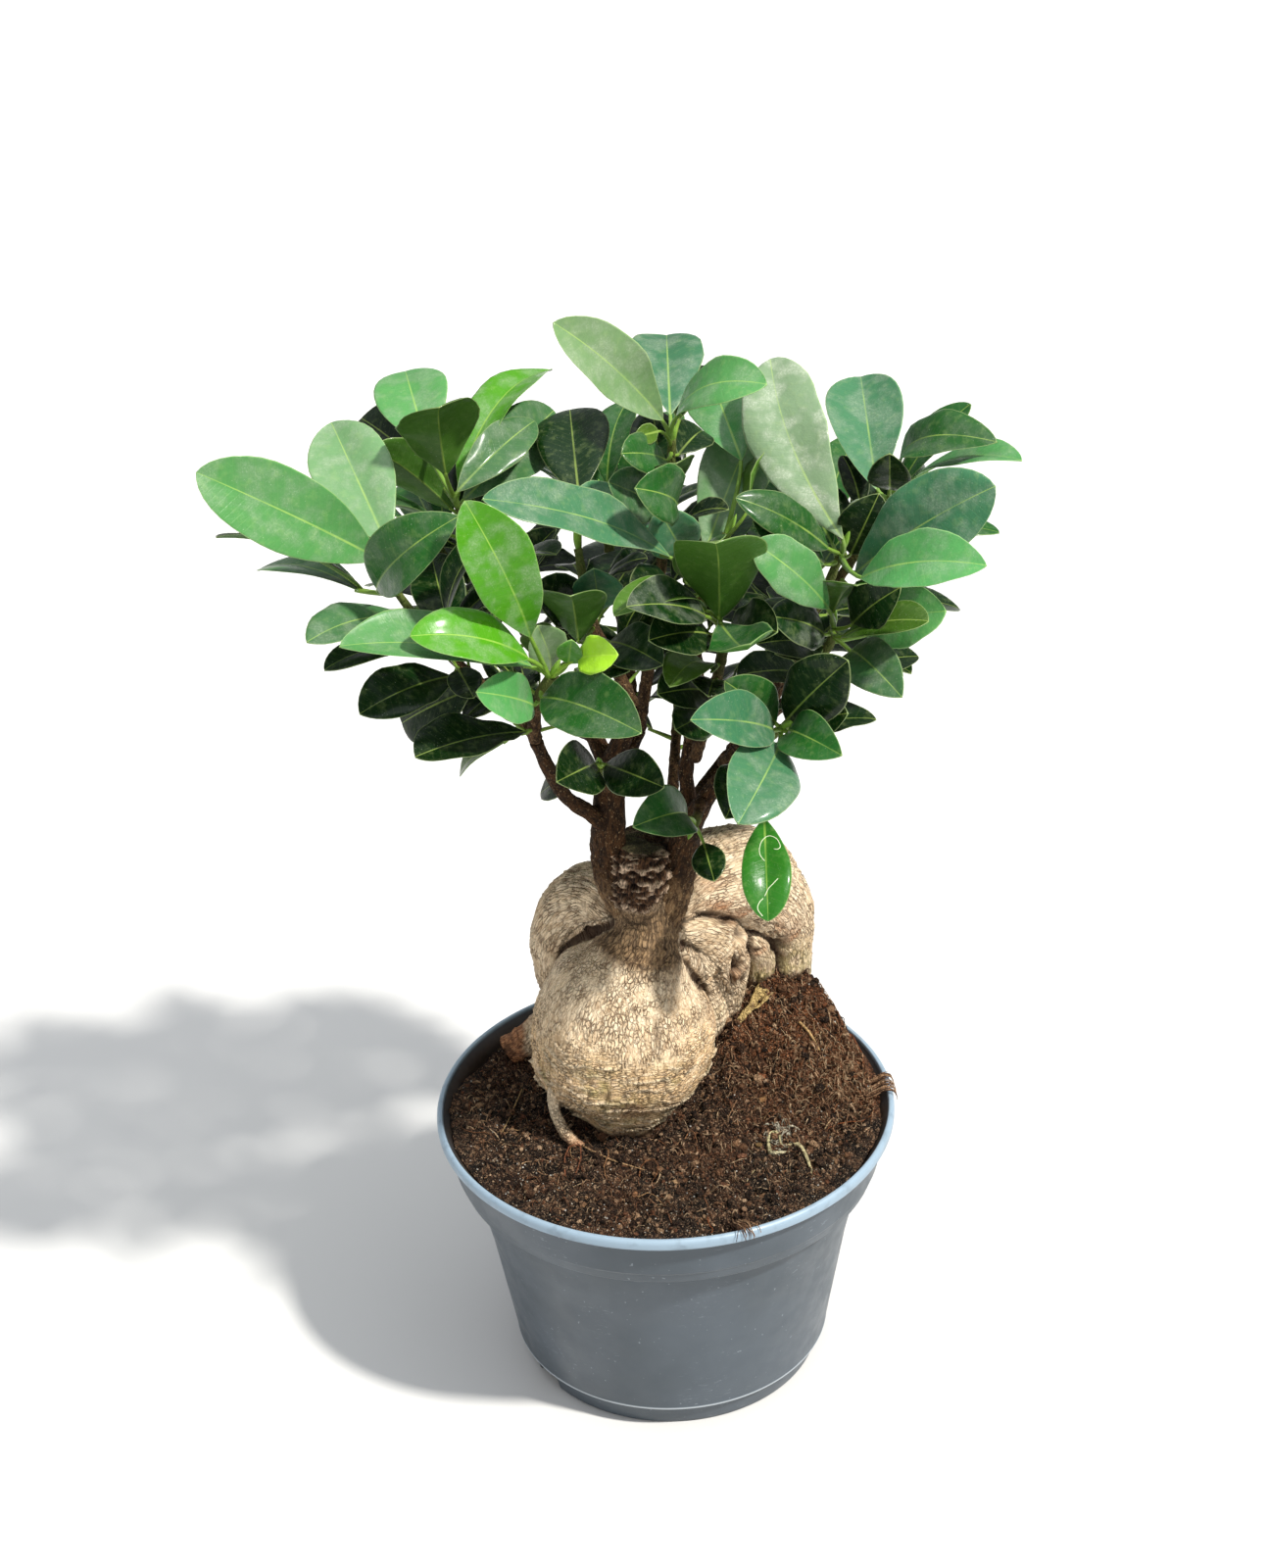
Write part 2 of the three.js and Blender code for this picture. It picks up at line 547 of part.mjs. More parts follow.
// Leaf number i of the count that grow by the spiral rule.
function spiralLeaf(twig, { count, toward, spread, long }, i) {
  const share = (i + 0.5) / count;
  const { point, heading } = alongTwig(twig, SPIRAL.firstShare + (1 - SPIRAL.firstShare) * share);
  const turned = ((i * SPIRAL.angle) % 360) / 360 - 0.5;
  const around = toward + turned * 2 * spread + randomAround(0, SPIRAL.bearingSpread);
  const bearing = THREE.MathUtils.degToRad(around);
  const outward = new THREE.Vector3(Math.cos(bearing), Math.sin(bearing), 0);
  outward.addScaledVector(heading, -SPIRAL.flatten * outward.dot(heading)).normalize();
  const steepness = SPIRAL.lowTilt + (SPIRAL.highTilt - SPIRAL.lowTilt) * share;
  const tilt = THREE.MathUtils.degToRad(steepness + randomAround(0, SPIRAL.tiltSpread));
  const rising = heading.clone().add(new THREE.Vector3(0, 0, SPIRAL.rise)).normalize();
  const u = rising.multiplyScalar(Math.cos(tilt)).addScaledVector(outward, Math.sin(tilt)).normalize();
  const length = long * (1 - SPIRAL.shorten * share) * randomAround(1, SPIRAL.lengthSpread);
  const base = point.clone().addScaledVector(u, random(...SPIRAL.stalk));
  const normal = new THREE.Vector3(0, 0, 0.8).addScaledVector(heading, 0.5).addScaledVector(outward, -0.3);
  return makeLeaf({
    base,
    tip: base.clone().addScaledVector(u, length),
    normal,
    root: point,
    wide: length * random(...SPIRAL.widthShare),
    arch: random(...SPIRAL.arch),
  });
}

function shortestDistance(points, others) {
  let shortest = Infinity;
  for (const point of points) {
    for (const other of others) shortest = Math.min(shortest, point.distanceToSquared(other));
  }
  return Math.sqrt(shortest);
}

function dotted(path) {
  const points = [];
  for (let i = 1; i < path.length; i++) {
    const pieces = Math.max(2, Math.floor(path[i].distanceTo(path[i - 1]) / 5));
    for (let k = 0; k <= pieces; k++) {
      points.push(path[i - 1].clone().addScaledVector(path[i].clone().sub(path[i - 1]), k / pieces));
    }
  }
  return points;
}

// All the leaves, by leafy stem. The spiral ones are kept only where they clear the rest.
function growLeaves() {
  const stems = new Map();
  for (const [name, { twig, leaves, fill }] of Object.entries(LEAFY_STEMS)) {
    const path = twig.map(seenAt);
    stems.set(name, { path, fill, radii: twig.map((point) => point[3]), leaves: [], samples: [] });
    for (const row of Object.values(leaves)) stems.get(name).leaves.push(measuredLeaf(row, path));
  }
  for (const [name, { twig, fill }] of Object.entries(REAR_STEMS)) {
    const radii = twig.map((point) => point[3]);
    stems.set(name, { path: twig.map(vector), fill, radii, leaves: [], samples: [] });
  }
  const wood = [...stems.values()].flatMap(({ path }) => dotted(path));
  for (const graft of [LEFT_GRAFT, RIGHT_GRAFT]) {
    for (const path of Object.values(graft)) wood.push(...dotted(path.map(seenAt)));
  }
  for (const stem of stems.values()) stem.samples = stem.leaves.flatMap(bladeSamples);
  for (const stem of stems.values()) {
    for (let i = 0; i < (stem.fill?.count ?? 0); i++) {
      const leaf = spiralLeaf(stem.path, stem.fill, i);
      const samples = bladeSamples(leaf);
      const farWood = wood.filter((point) => point.distanceTo(leaf.root) > CLEARANCE.ownRoot);
      const crowded = [...stems.values()].some(
        (other) =>
          shortestDistance(samples, other.samples) <
          (other === stem ? CLEARANCE.sameStem : CLEARANCE.otherStem),
      );
      const low = samples.some((point) => point.z < CLEARANCE.lowest);
      if (crowded || low || shortestDistance(samples, farWood) < CLEARANCE.wood) continue;
      stem.leaves.push(leaf);
      stem.samples.push(...samples);
    }
  }
  return stems;
}

// Solids

function solidOf(geometry) {
  const bare = geometry.clone();
  bare.deleteAttribute("normal");
  bare.deleteAttribute("uv");
  const merged = mergeVertices(bare, 1e-3);
  const corners = Array.from(merged.index.array);
  const kept = [];
  for (let i = 0; i < corners.length; i += 3) {
    const [a, b, c] = corners.slice(i, i + 3);
    if (a !== b && b !== c && c !== a) kept.push(a, b, c);
  }
  return new wasm.Manifold(
    new wasm.Mesh({
      numProp: 3,
      vertProperties: new Float32Array(merged.attributes.position.array),
      triVerts: new Uint32Array(kept),
    }),
  );
}

// A named mesh of the solid's largest body: cutting can leave loose crumbs.
function meshOf(name, solid, material) {
  const bodies = solid.decompose().sort((a, b) => b.volume() - a.volume());
  const { numProp, vertProperties, triVerts } = bodies[0].getMesh();
  const positions = new Float32Array((vertProperties.length / numProp) * 3);
  for (let i = 0; i < positions.length / 3; i++) {
    positions.set(vertProperties.subarray(i * numProp, i * numProp + 3), i * 3);
  }
  const geometry = new THREE.BufferGeometry();
  geometry.setAttribute("position", new THREE.BufferAttribute(positions, 3));
  geometry.setIndex(new THREE.BufferAttribute(new Uint32Array(triVerts), 1));
  geometry.computeVertexNormals();
  const mesh = new THREE.Mesh(geometry, material);
  mesh.name = name;
  return mesh;
}

function joined(solids) {
  return solids.reduce((whole, solid) => whole.add(solid));
}

// A round limb along smooth points, its radius passing smoothly through theirs.
// It is a closed cylinder whose rings are carried along the curve.
function limb(points, radii, sides, steps, grow = 0) {
  const centres = new THREE.CatmullRomCurve3(points);
  const sizes = new THREE.CatmullRomCurve3(radii.map((radius) => new THREE.Vector3(radius, 0, 0)));
  const geometry = new THREE.CylinderGeometry(1, 1, 1, sides, steps);
  const position = geometry.attributes.position;
  const frames = [];
  let across = new THREE.Vector3(1, 0, 0);
  if (Math.abs(centres.getTangent(0).x) > 0.9) across = new THREE.Vector3(0, 1, 0);
  for (let i = 0; i <= steps; i++) {
    const heading = centres.getTangent(i / steps);
    across = across.clone().addScaledVector(heading, -across.dot(heading)).normalize();
    const beyond = i === 0 ? -grow : i === steps ? grow : 0;
    const centre = centres.getPoint(i / steps).addScaledVector(heading, beyond);
    const radius = sizes.getPoint(i / steps).x + grow;
    frames.push({ centre, across, third: heading.clone().cross(across), radius });
  }
  for (let i = 0; i < position.count; i++) {
    const { centre, across, third, radius } = frames[Math.round((position.getY(i) + 0.5) * steps)];
    const place = centre
      .clone()
      .addScaledVector(across, position.getX(i) * radius)
      .addScaledVector(third, -position.getZ(i) * radius);
    position.setXYZ(i, place.x, place.y, place.z);
  }
  return solidOf(geometry);
}

// A leaf of even thickness: rows of left edge, midrib and right edge. The stalk narrows from the
// blade's foot to an edge inside the twig, and the blade closes to an edge at its tip.
function leafSolid(leaf) {
  const { shares } = BLADE.rows.find(({ upTo }) => leaf.long <= upTo);
  const down = leaf.n.clone().multiplyScalar(-BLADE.thickness);
  const top = [leaf.root.clone().addScaledVector(leaf.n, BLADE.thickness / 2)];
  for (const share of shares) {
    for (const across of [-1, 0, 1]) top.push(bladePoint(leaf, share, across));
  }
  top.push(bladePoint(leaf, 1, 0));
  const last = top.length - 1;
  const faces = [[0, 2, 1], [0, 3, 2]];
  const rim = [[0, 1], [3, 0]];
  for (let row = 1; row < shares.length; row++) {
    const a = 3 * row - 2;
    const b = a + 3;
    faces.push([a, a + 1, b], [a + 1, b + 1, b], [a + 1, a + 2, b + 1], [a + 2, b + 2, b + 1]);
    rim.push([a, b], [b + 2, a + 2]);
  }
  faces.push([last - 3, last - 2, last], [last - 2, last - 1, last]);
  rim.push([last - 3, last], [last, last - 1]);
  const under = last + 1;
  const index = [];
  for (const [a, b, c] of faces) index.push(a, c, b, a + under, b + under, c + under);
  for (const [a, b] of rim) index.push(a, a + under, b, b, a + under, b + under);
  const bottom = top.map((point) => point.clone().add(down));
  const geometry = new THREE.BufferGeometry().setFromPoints([...top, ...bottom]);
  geometry.setIndex(index);
  return solidOf(geometry);
}

// The pot

// The wall's outline, as [radius, height] points from the underside round the rim to the floor.
function potProfile() {
  const { height, rimRadius, rimWidth, footRadius, floor } = POT;
  return [
    [0, 0],
    [footRadius, 0],
    ...Object.values(POT_OUTSIDE),
    [rimRadius - rimWidth, height],
    ...Object.values(POT_INSIDE),
    [footRadius, floor],
    [0, floor],
  ];
}

function lathe(profile, sides) {
  const points = profile.map(([radius, height]) => new THREE.Vector2(radius, height));
  return new THREE.LatheGeometry(points, sides).rotateX(Math.PI / 2);
}

function drainHole(index) {
  const drill = new THREE.CylinderGeometry(DRAIN.radius, DRAIN.radius, DRAIN.long, 12).rotateX(Math.PI / 2);
  drill.translate(DRAIN.fromCentre, 0, 0);
  drill.rotateZ(((index + 0.5) * 2 * Math.PI) / DRAIN.count);
  return solidOf(drill);
}

function footNotch(angle) {
  const box = new THREE.BoxGeometry(NOTCH.long, NOTCH.width, 2 * NOTCH.height);
  box.translate(POT.footRadius + 1, 0, 0);
  box.rotateZ(THREE.MathUtils.degToRad(angle));
  return solidOf(box);
}

function potSolid() {
  let shell = solidOf(lathe(potProfile(), POT.sides));
  for (let i = 0; i < DRAIN.count; i++) shell = shell.subtract(drainHole(i));
  for (const angle of NOTCH.angles) shell = shell.subtract(footNotch(angle));
  return shell;
}

// The soil

function swelling({ x, y, height, spread }, px, py) {
  return height * Math.exp(-((px - x) ** 2 + (py - y) ** 2) / (2 * spread * spread));
}

function soilHeight(x, y) {
  const [from, to] = SOIL.moundEdge;
  const edge = 1 - THREE.MathUtils.smoothstep(Math.hypot(x, y), from, to);
  const { alongX, alongY } = SOIL.ripple;
  const ripple = SOIL.ripple.height * Math.sin(x * alongX + 1) * Math.cos(y * alongY);
  return SOIL.level + ripple + edge * swelling(SOIL.mound, x, y) + swelling(SOIL.hollow, x, y);
}

// The radius of the pot's inside below its rim.
function insideRadius(height) {
  const { shoulder, brim } = POT_INSIDE;
  const share = (height - shoulder[1]) / (brim[1] - shoulder[1]);
  return shoulder[0] + (brim[0] - shoulder[0]) * share;
}

// The soil follows the pot's inside, a gap clear of it, up to its uneven top.
function soilSolid() {
  const { shoulder, ledge, middle, heel } = POT_INSIDE;
  const wall = [heel, middle, ledge, shoulder].map(([radius, height]) => [radius - 2 * GAP, height]);
  const topRadius = insideRadius(SOIL.level);
  const profile = [[0, POT.floor + GAP], [POT.footRadius - 1, POT.floor + GAP], ...wall];
  for (let i = 0; i <= SOIL.rings; i++) profile.push([topRadius * (1 - i / SOIL.rings), SOIL.level]);
  const geometry = lathe(profile, POT.sides);
  const position = geometry.attributes.position;
  for (let i = 0; i < position.count; i++) {
    if (position.getZ(i) < SOIL.level - 1) continue;
    const [x, y] = [position.getX(i), position.getY(i)];
    const height = soilHeight(x, y);
    const radius = Math.hypot(x, y);
    const inward = radius > 0 ? Math.min(1, (insideRadius(height) - 2 * GAP) / radius) : 1;
    position.setXYZ(i, x * inward, y * inward, height);
  }
  return solidOf(geometry);
}

// The plant

function rootstockSolid(grow = 0) {
  const limbs = Object.values(ROOTSTOCK).map(({ path, sides, steps }) =>
    limb(path.map(vector), path.map((point) => point[3]), sides, steps, grow),
  );
  return joined(limbs);
}

function graftSolid(graft, grow = 0) {
  return joined(
    Object.values(graft).map((path) =>
      limb(path.map(seenAt), path.map((point) => point[3]), GRAFT_SIDES, 2 * path.length - 3, grow),
    ),
  );
}

// A twig with straight stretches between its points, and the leaves that grow from it.
function leafyStemSolid({ path, radii, leaves }) {
  const twig = limb(path, radii, TWIG_SIDES, path.length - 1);
  return joined([twig, ...leaves.map(leafSolid)]);
}

// The model

const MATERIALS = {
  pot: new THREE.MeshStandardMaterial({ color: 0x6b7580, roughness: 0.5, metalness: 0 }),
  soil: new THREE.MeshStandardMaterial({ color: 0x33211a, roughness: 1, metalness: 0 }),
  rootstock: new THREE.MeshStandardMaterial({ color: 0xb9a184, roughness: 0.85, metalness: 0 }),
  bark: new THREE.MeshStandardMaterial({ color: 0x6d4c36, roughness: 0.85, metalness: 0 }),
  foliage: new THREE.MeshStandardMaterial({ color: 0x2f6b3a, roughness: 0.4, metalness: 0 }),
};

const plant = new THREE.Group();
const rootstock = rootstockSolid();
const aroundRootstock = rootstockSolid(GAP);
plant.add(meshOf("pot", potSolid(), MATERIALS.pot));
plant.add(meshOf("soil", soilSolid().subtract(aroundRootstock), MATERIALS.soil));
plant.add(meshOf("rootstock", rootstock, MATERIALS.rootstock));

const leftGraft = graftSolid(LEFT_GRAFT).subtract(aroundRootstock);
const aroundLeftGraft = graftSolid(LEFT_GRAFT, GAP);
const rightGraft = graftSolid(RIGHT_GRAFT).subtract(aroundRootstock).subtract(aroundLeftGraft);
const aroundWood = joined([aroundRootstock, aroundLeftGraft, graftSolid(RIGHT_GRAFT, GAP)]);
plant.add(meshOf("left_graft_stem", leftGraft, MATERIALS.bark));
plant.add(meshOf("right_graft_stem", rightGraft, MATERIALS.bark));

for (const [name, stem] of growLeaves()) {
  plant.add(meshOf("leafy_stem_" + name, leafyStemSolid(stem).subtract(aroundWood), MATERIALS.foliage));
}

export default plant;
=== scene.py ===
import math
from collections import namedtuple

import bmesh
import bpy
import numpy as np
from mathutils import Matrix, Vector


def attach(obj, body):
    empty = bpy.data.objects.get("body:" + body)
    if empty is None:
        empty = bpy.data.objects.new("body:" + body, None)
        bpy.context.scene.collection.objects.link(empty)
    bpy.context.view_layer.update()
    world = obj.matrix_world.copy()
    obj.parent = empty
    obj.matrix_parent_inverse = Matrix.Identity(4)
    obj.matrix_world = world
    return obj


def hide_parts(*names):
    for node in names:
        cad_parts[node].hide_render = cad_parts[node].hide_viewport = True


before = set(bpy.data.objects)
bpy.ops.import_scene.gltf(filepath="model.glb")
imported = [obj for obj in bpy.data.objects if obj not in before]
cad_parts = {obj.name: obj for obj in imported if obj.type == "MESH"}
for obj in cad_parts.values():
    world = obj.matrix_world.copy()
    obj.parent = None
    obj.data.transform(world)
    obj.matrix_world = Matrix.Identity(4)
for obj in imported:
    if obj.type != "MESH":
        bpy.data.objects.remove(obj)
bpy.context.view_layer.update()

MM = 0.001

# The pot

POT_OUTSIDE = [
    (56, 0, 1.2), (58, 8, 0.4), (59.6, 9.2, 0.3), (60.3, 9.9, 0.3), (60.1, 10.8, 0.3), (68, 57, 0),
    (74, 83.3, 0.8), (78.4, 84.4, 0.8), (79.5, 88.6, 0.4), (80.2, 89.3, 0.4), (82, 103, 0.8),
    (85.5, 104, 0.9), (85.5, 107, 1.0), (84.5, 108, 0.6),
]  # radius, height, rounding of the corners up the outside
POT_INSIDE = [
    (83.4, 108, 0.5), (83.0, 106.6, 0.5), (80, 103, 1.5), (77.5, 86.5, 1.5), (72, 82.5, 1.5), (66, 57, 0),
    (58, 10, 2), (56, 2.5, 1.5),
]  # the same down the inside
POT_FLOOR = 2.5
POT_SEGMENTS = 144
DRAIN = {"count": 8, "radius": 4, "from_centre": 38, "long": 12}
NOTCH = {"angles": (212, 32), "from_centre": 57, "long": 12, "width": 14, "height": 7.5}

# The soil

SOIL_LEVEL = 104.4
MOUND = {"x": 50, "y": 46, "height": 26, "spread": 22}
HOLLOW = {"x": -60, "y": 40, "height": -3.5, "spread": 18}
BANKS = [  # earth heaped against the right of the tuber, the elbow and the right arch
    {"x": 20, "y": -9, "height": 7, "spread": 9.5}, {"x": 25, "y": 23, "height": 9, "spread": 7.5},
    {"x": 37, "y": 43, "height": 7.5, "spread": 8.5},
]
MOUND_EDGE = (74, 85)
SHOULDER = (77.5, 86.5)
BRIM = (80, 103)
LIP = (83.0, 106.6)
SOIL_GRID = (124, 400)  # rings and segments of the soil's surface
SOIL_REACH = 77.5  # how far from the pot's middle its crumbs and fibres lie
SKIRT_LEVEL = 84  # how far down the soil's surface goes on inside the pot
REDDISH = {"x": 52, "y": 28, "height": 1.2, "spread": 26}

# Limbs of the rootstock, as x, y, z, radius

ROOTSTOCK = {
    "tuber": [
        (-14, 3, 86, 13), (-14, 2, 98, 18), (-15, 2, 110, 27), (-15, 3, 124, 33.5), (-14, 4, 140, 34),
        (-12, 5, 156, 29), (-8, 6, 170, 18.6), (-5, 7, 182, 13.4), (-5, 7, 198, 12.4), (-5, 5, 218, 10),
    ],
    "left_buttress": [(-30, 6, 132, 9), (-37, 3, 120, 10.5), (-37, 2, 108, 9), (-33, 2, 94, 6)],
    "left_arch": [
        (-8, 10, 178, 11), (-20, 22, 183, 14), (-29, 32, 170, 17), (-32, 40, 148, 17),
        (-32, 44, 124, 13), (-30, 45, 104, 9.5), (-28, 44, 88, 7),
    ],
    "left_fold": [(-10, 13, 175, 9), (-19, 20, 168, 11), (-26, 26, 158, 12), (-31, 32, 145, 12)],
    "left_stub": [
        (-36, 42, 124, 6), (-45, 42, 116, 6.4), (-53, 42, 108, 6), (-53, 42, 108, 6.2), (-60, 41, 103.5, 6.2),
    ],
    "front_root": [
        (-38, -11, 132, 2.0), (-41, -17, 122, 2.2), (-38, -21, 111, 2.2), (-31, -22, 102, 2.3),
        (-27, -19, 94, 2),
    ],
    "right_elbow": [
        (-2, 10, 177, 10), (9, 18, 173, 12.5), (18, 26, 163, 13.5), (22, 31, 150, 12),
        (23, 36, 134, 9.5), (23, 41, 110, 8), (22, 44, 90, 6),
    ],
    "right_arch": [
        (-2, 12, 182, 11), (14, 30, 183, 17), (30, 44, 177, 20), (41, 51, 162, 17.5),
        (46, 55, 142, 13.5), (45, 54, 122, 11), (40, 50, 98, 8.5),
    ],
    "right_knob": [(24, 40, 162, 8), (32, 40, 156, 9), (37, 43, 147, 8.5), (37, 47, 130, 8)],
    "right_fillet": [(3, 8, 171, 7), (10, 12, 163, 7.5), (15, 17, 154, 7)],
    "inner_leg": [(6, 16, 160, 9), (13, 25, 146, 9.5), (17, 31, 126, 8.5), (18, 36, 106, 7), (18, 38, 92, 5)],
}

# Woody stems of the two grafts, as picture x, picture y, depth, radius

LEFT_GRAFT = {
    "scion": [
        (650, 938, 7, 7), (634, 903, 5, 8.4), (622, 868, 3, 6.8), (621, 835, 2, 6.2), (622, 800, 2, 5.4),
        (622, 778, 3, 4.8),
    ],
    "branch": [
        (620, 842, 2, 3.7), (604, 831, -4, 3), (580, 815, -12, 2.7), (560, 785, -22, 2.6),
        (547, 756, -28, 2.4),
    ],
    "left_fork": [(622, 782, 3, 4.2), (604, 748, 12, 3), (575, 712, 20, 2.6)],
    "mid_fork": [(622, 782, 3, 4.2), (636, 752, 0, 3.4), (646, 722, -4, 2.7)],
    "back_fork": [(624, 800, 4, 4.2), (640, 770, 22, 3.2), (652, 745, 34, 2.7)],
    "left_rear_fork": [(606, 750, 11, 2.9), (590, 744, 26, 2.6), (572, 735, 37, 2.4)],
    "rear_fork": [(638, 773, 20, 3), (642, 760, 36, 2.7), (646, 752, 46, 2.5)],
}
RIGHT_GRAFT = {
    "scion": [
        (670, 950, 6, 6.5), (686, 912, 3, 7.2), (694, 880, 0, 6.2), (700, 850, -2, 5.4), (718, 818, -6, 3.5),
        (735, 795, -10, 2.9),
    ],
    "inner": [(700, 852, -2, 3.7), (702, 815, 4, 3), (700, 785, 6, 2.7), (705, 755, 4, 2.6)],
    "back": [(700, 835, 0, 3.7), (722, 800, 16, 3), (745, 770, 28, 2.6)],
    "right_rear_fork": [(728, 792, 20, 2.9), (752, 768, 34, 2.6), (771, 743, 41, 2.3)],
    "rear_fork": [(720, 802, 14, 3), (733, 790, 34, 2.7), (744, 780, 48, 2.4)],
    "low_fork": [(698, 838, 2, 3.2), (692, 826, 14, 2.7), (686, 816, 23, 2.4)],
}

# Leafy stems that the front view shows. A twig is a list of picture x, picture y, depth, radius.
# A leaf starts at picture x, picture y, depth and ends at picture place tip; long and wide are its size.
# Turn is its roll in degrees, arch and bend are its curves, as shares of its length, and far says that its
# tip leans back.

FIELDS = "start tip long wide turn arch bend far tone"
Measured = namedtuple("Measured", FIELDS, defaults=(0, 0.08, 0.0, False, "mid"))

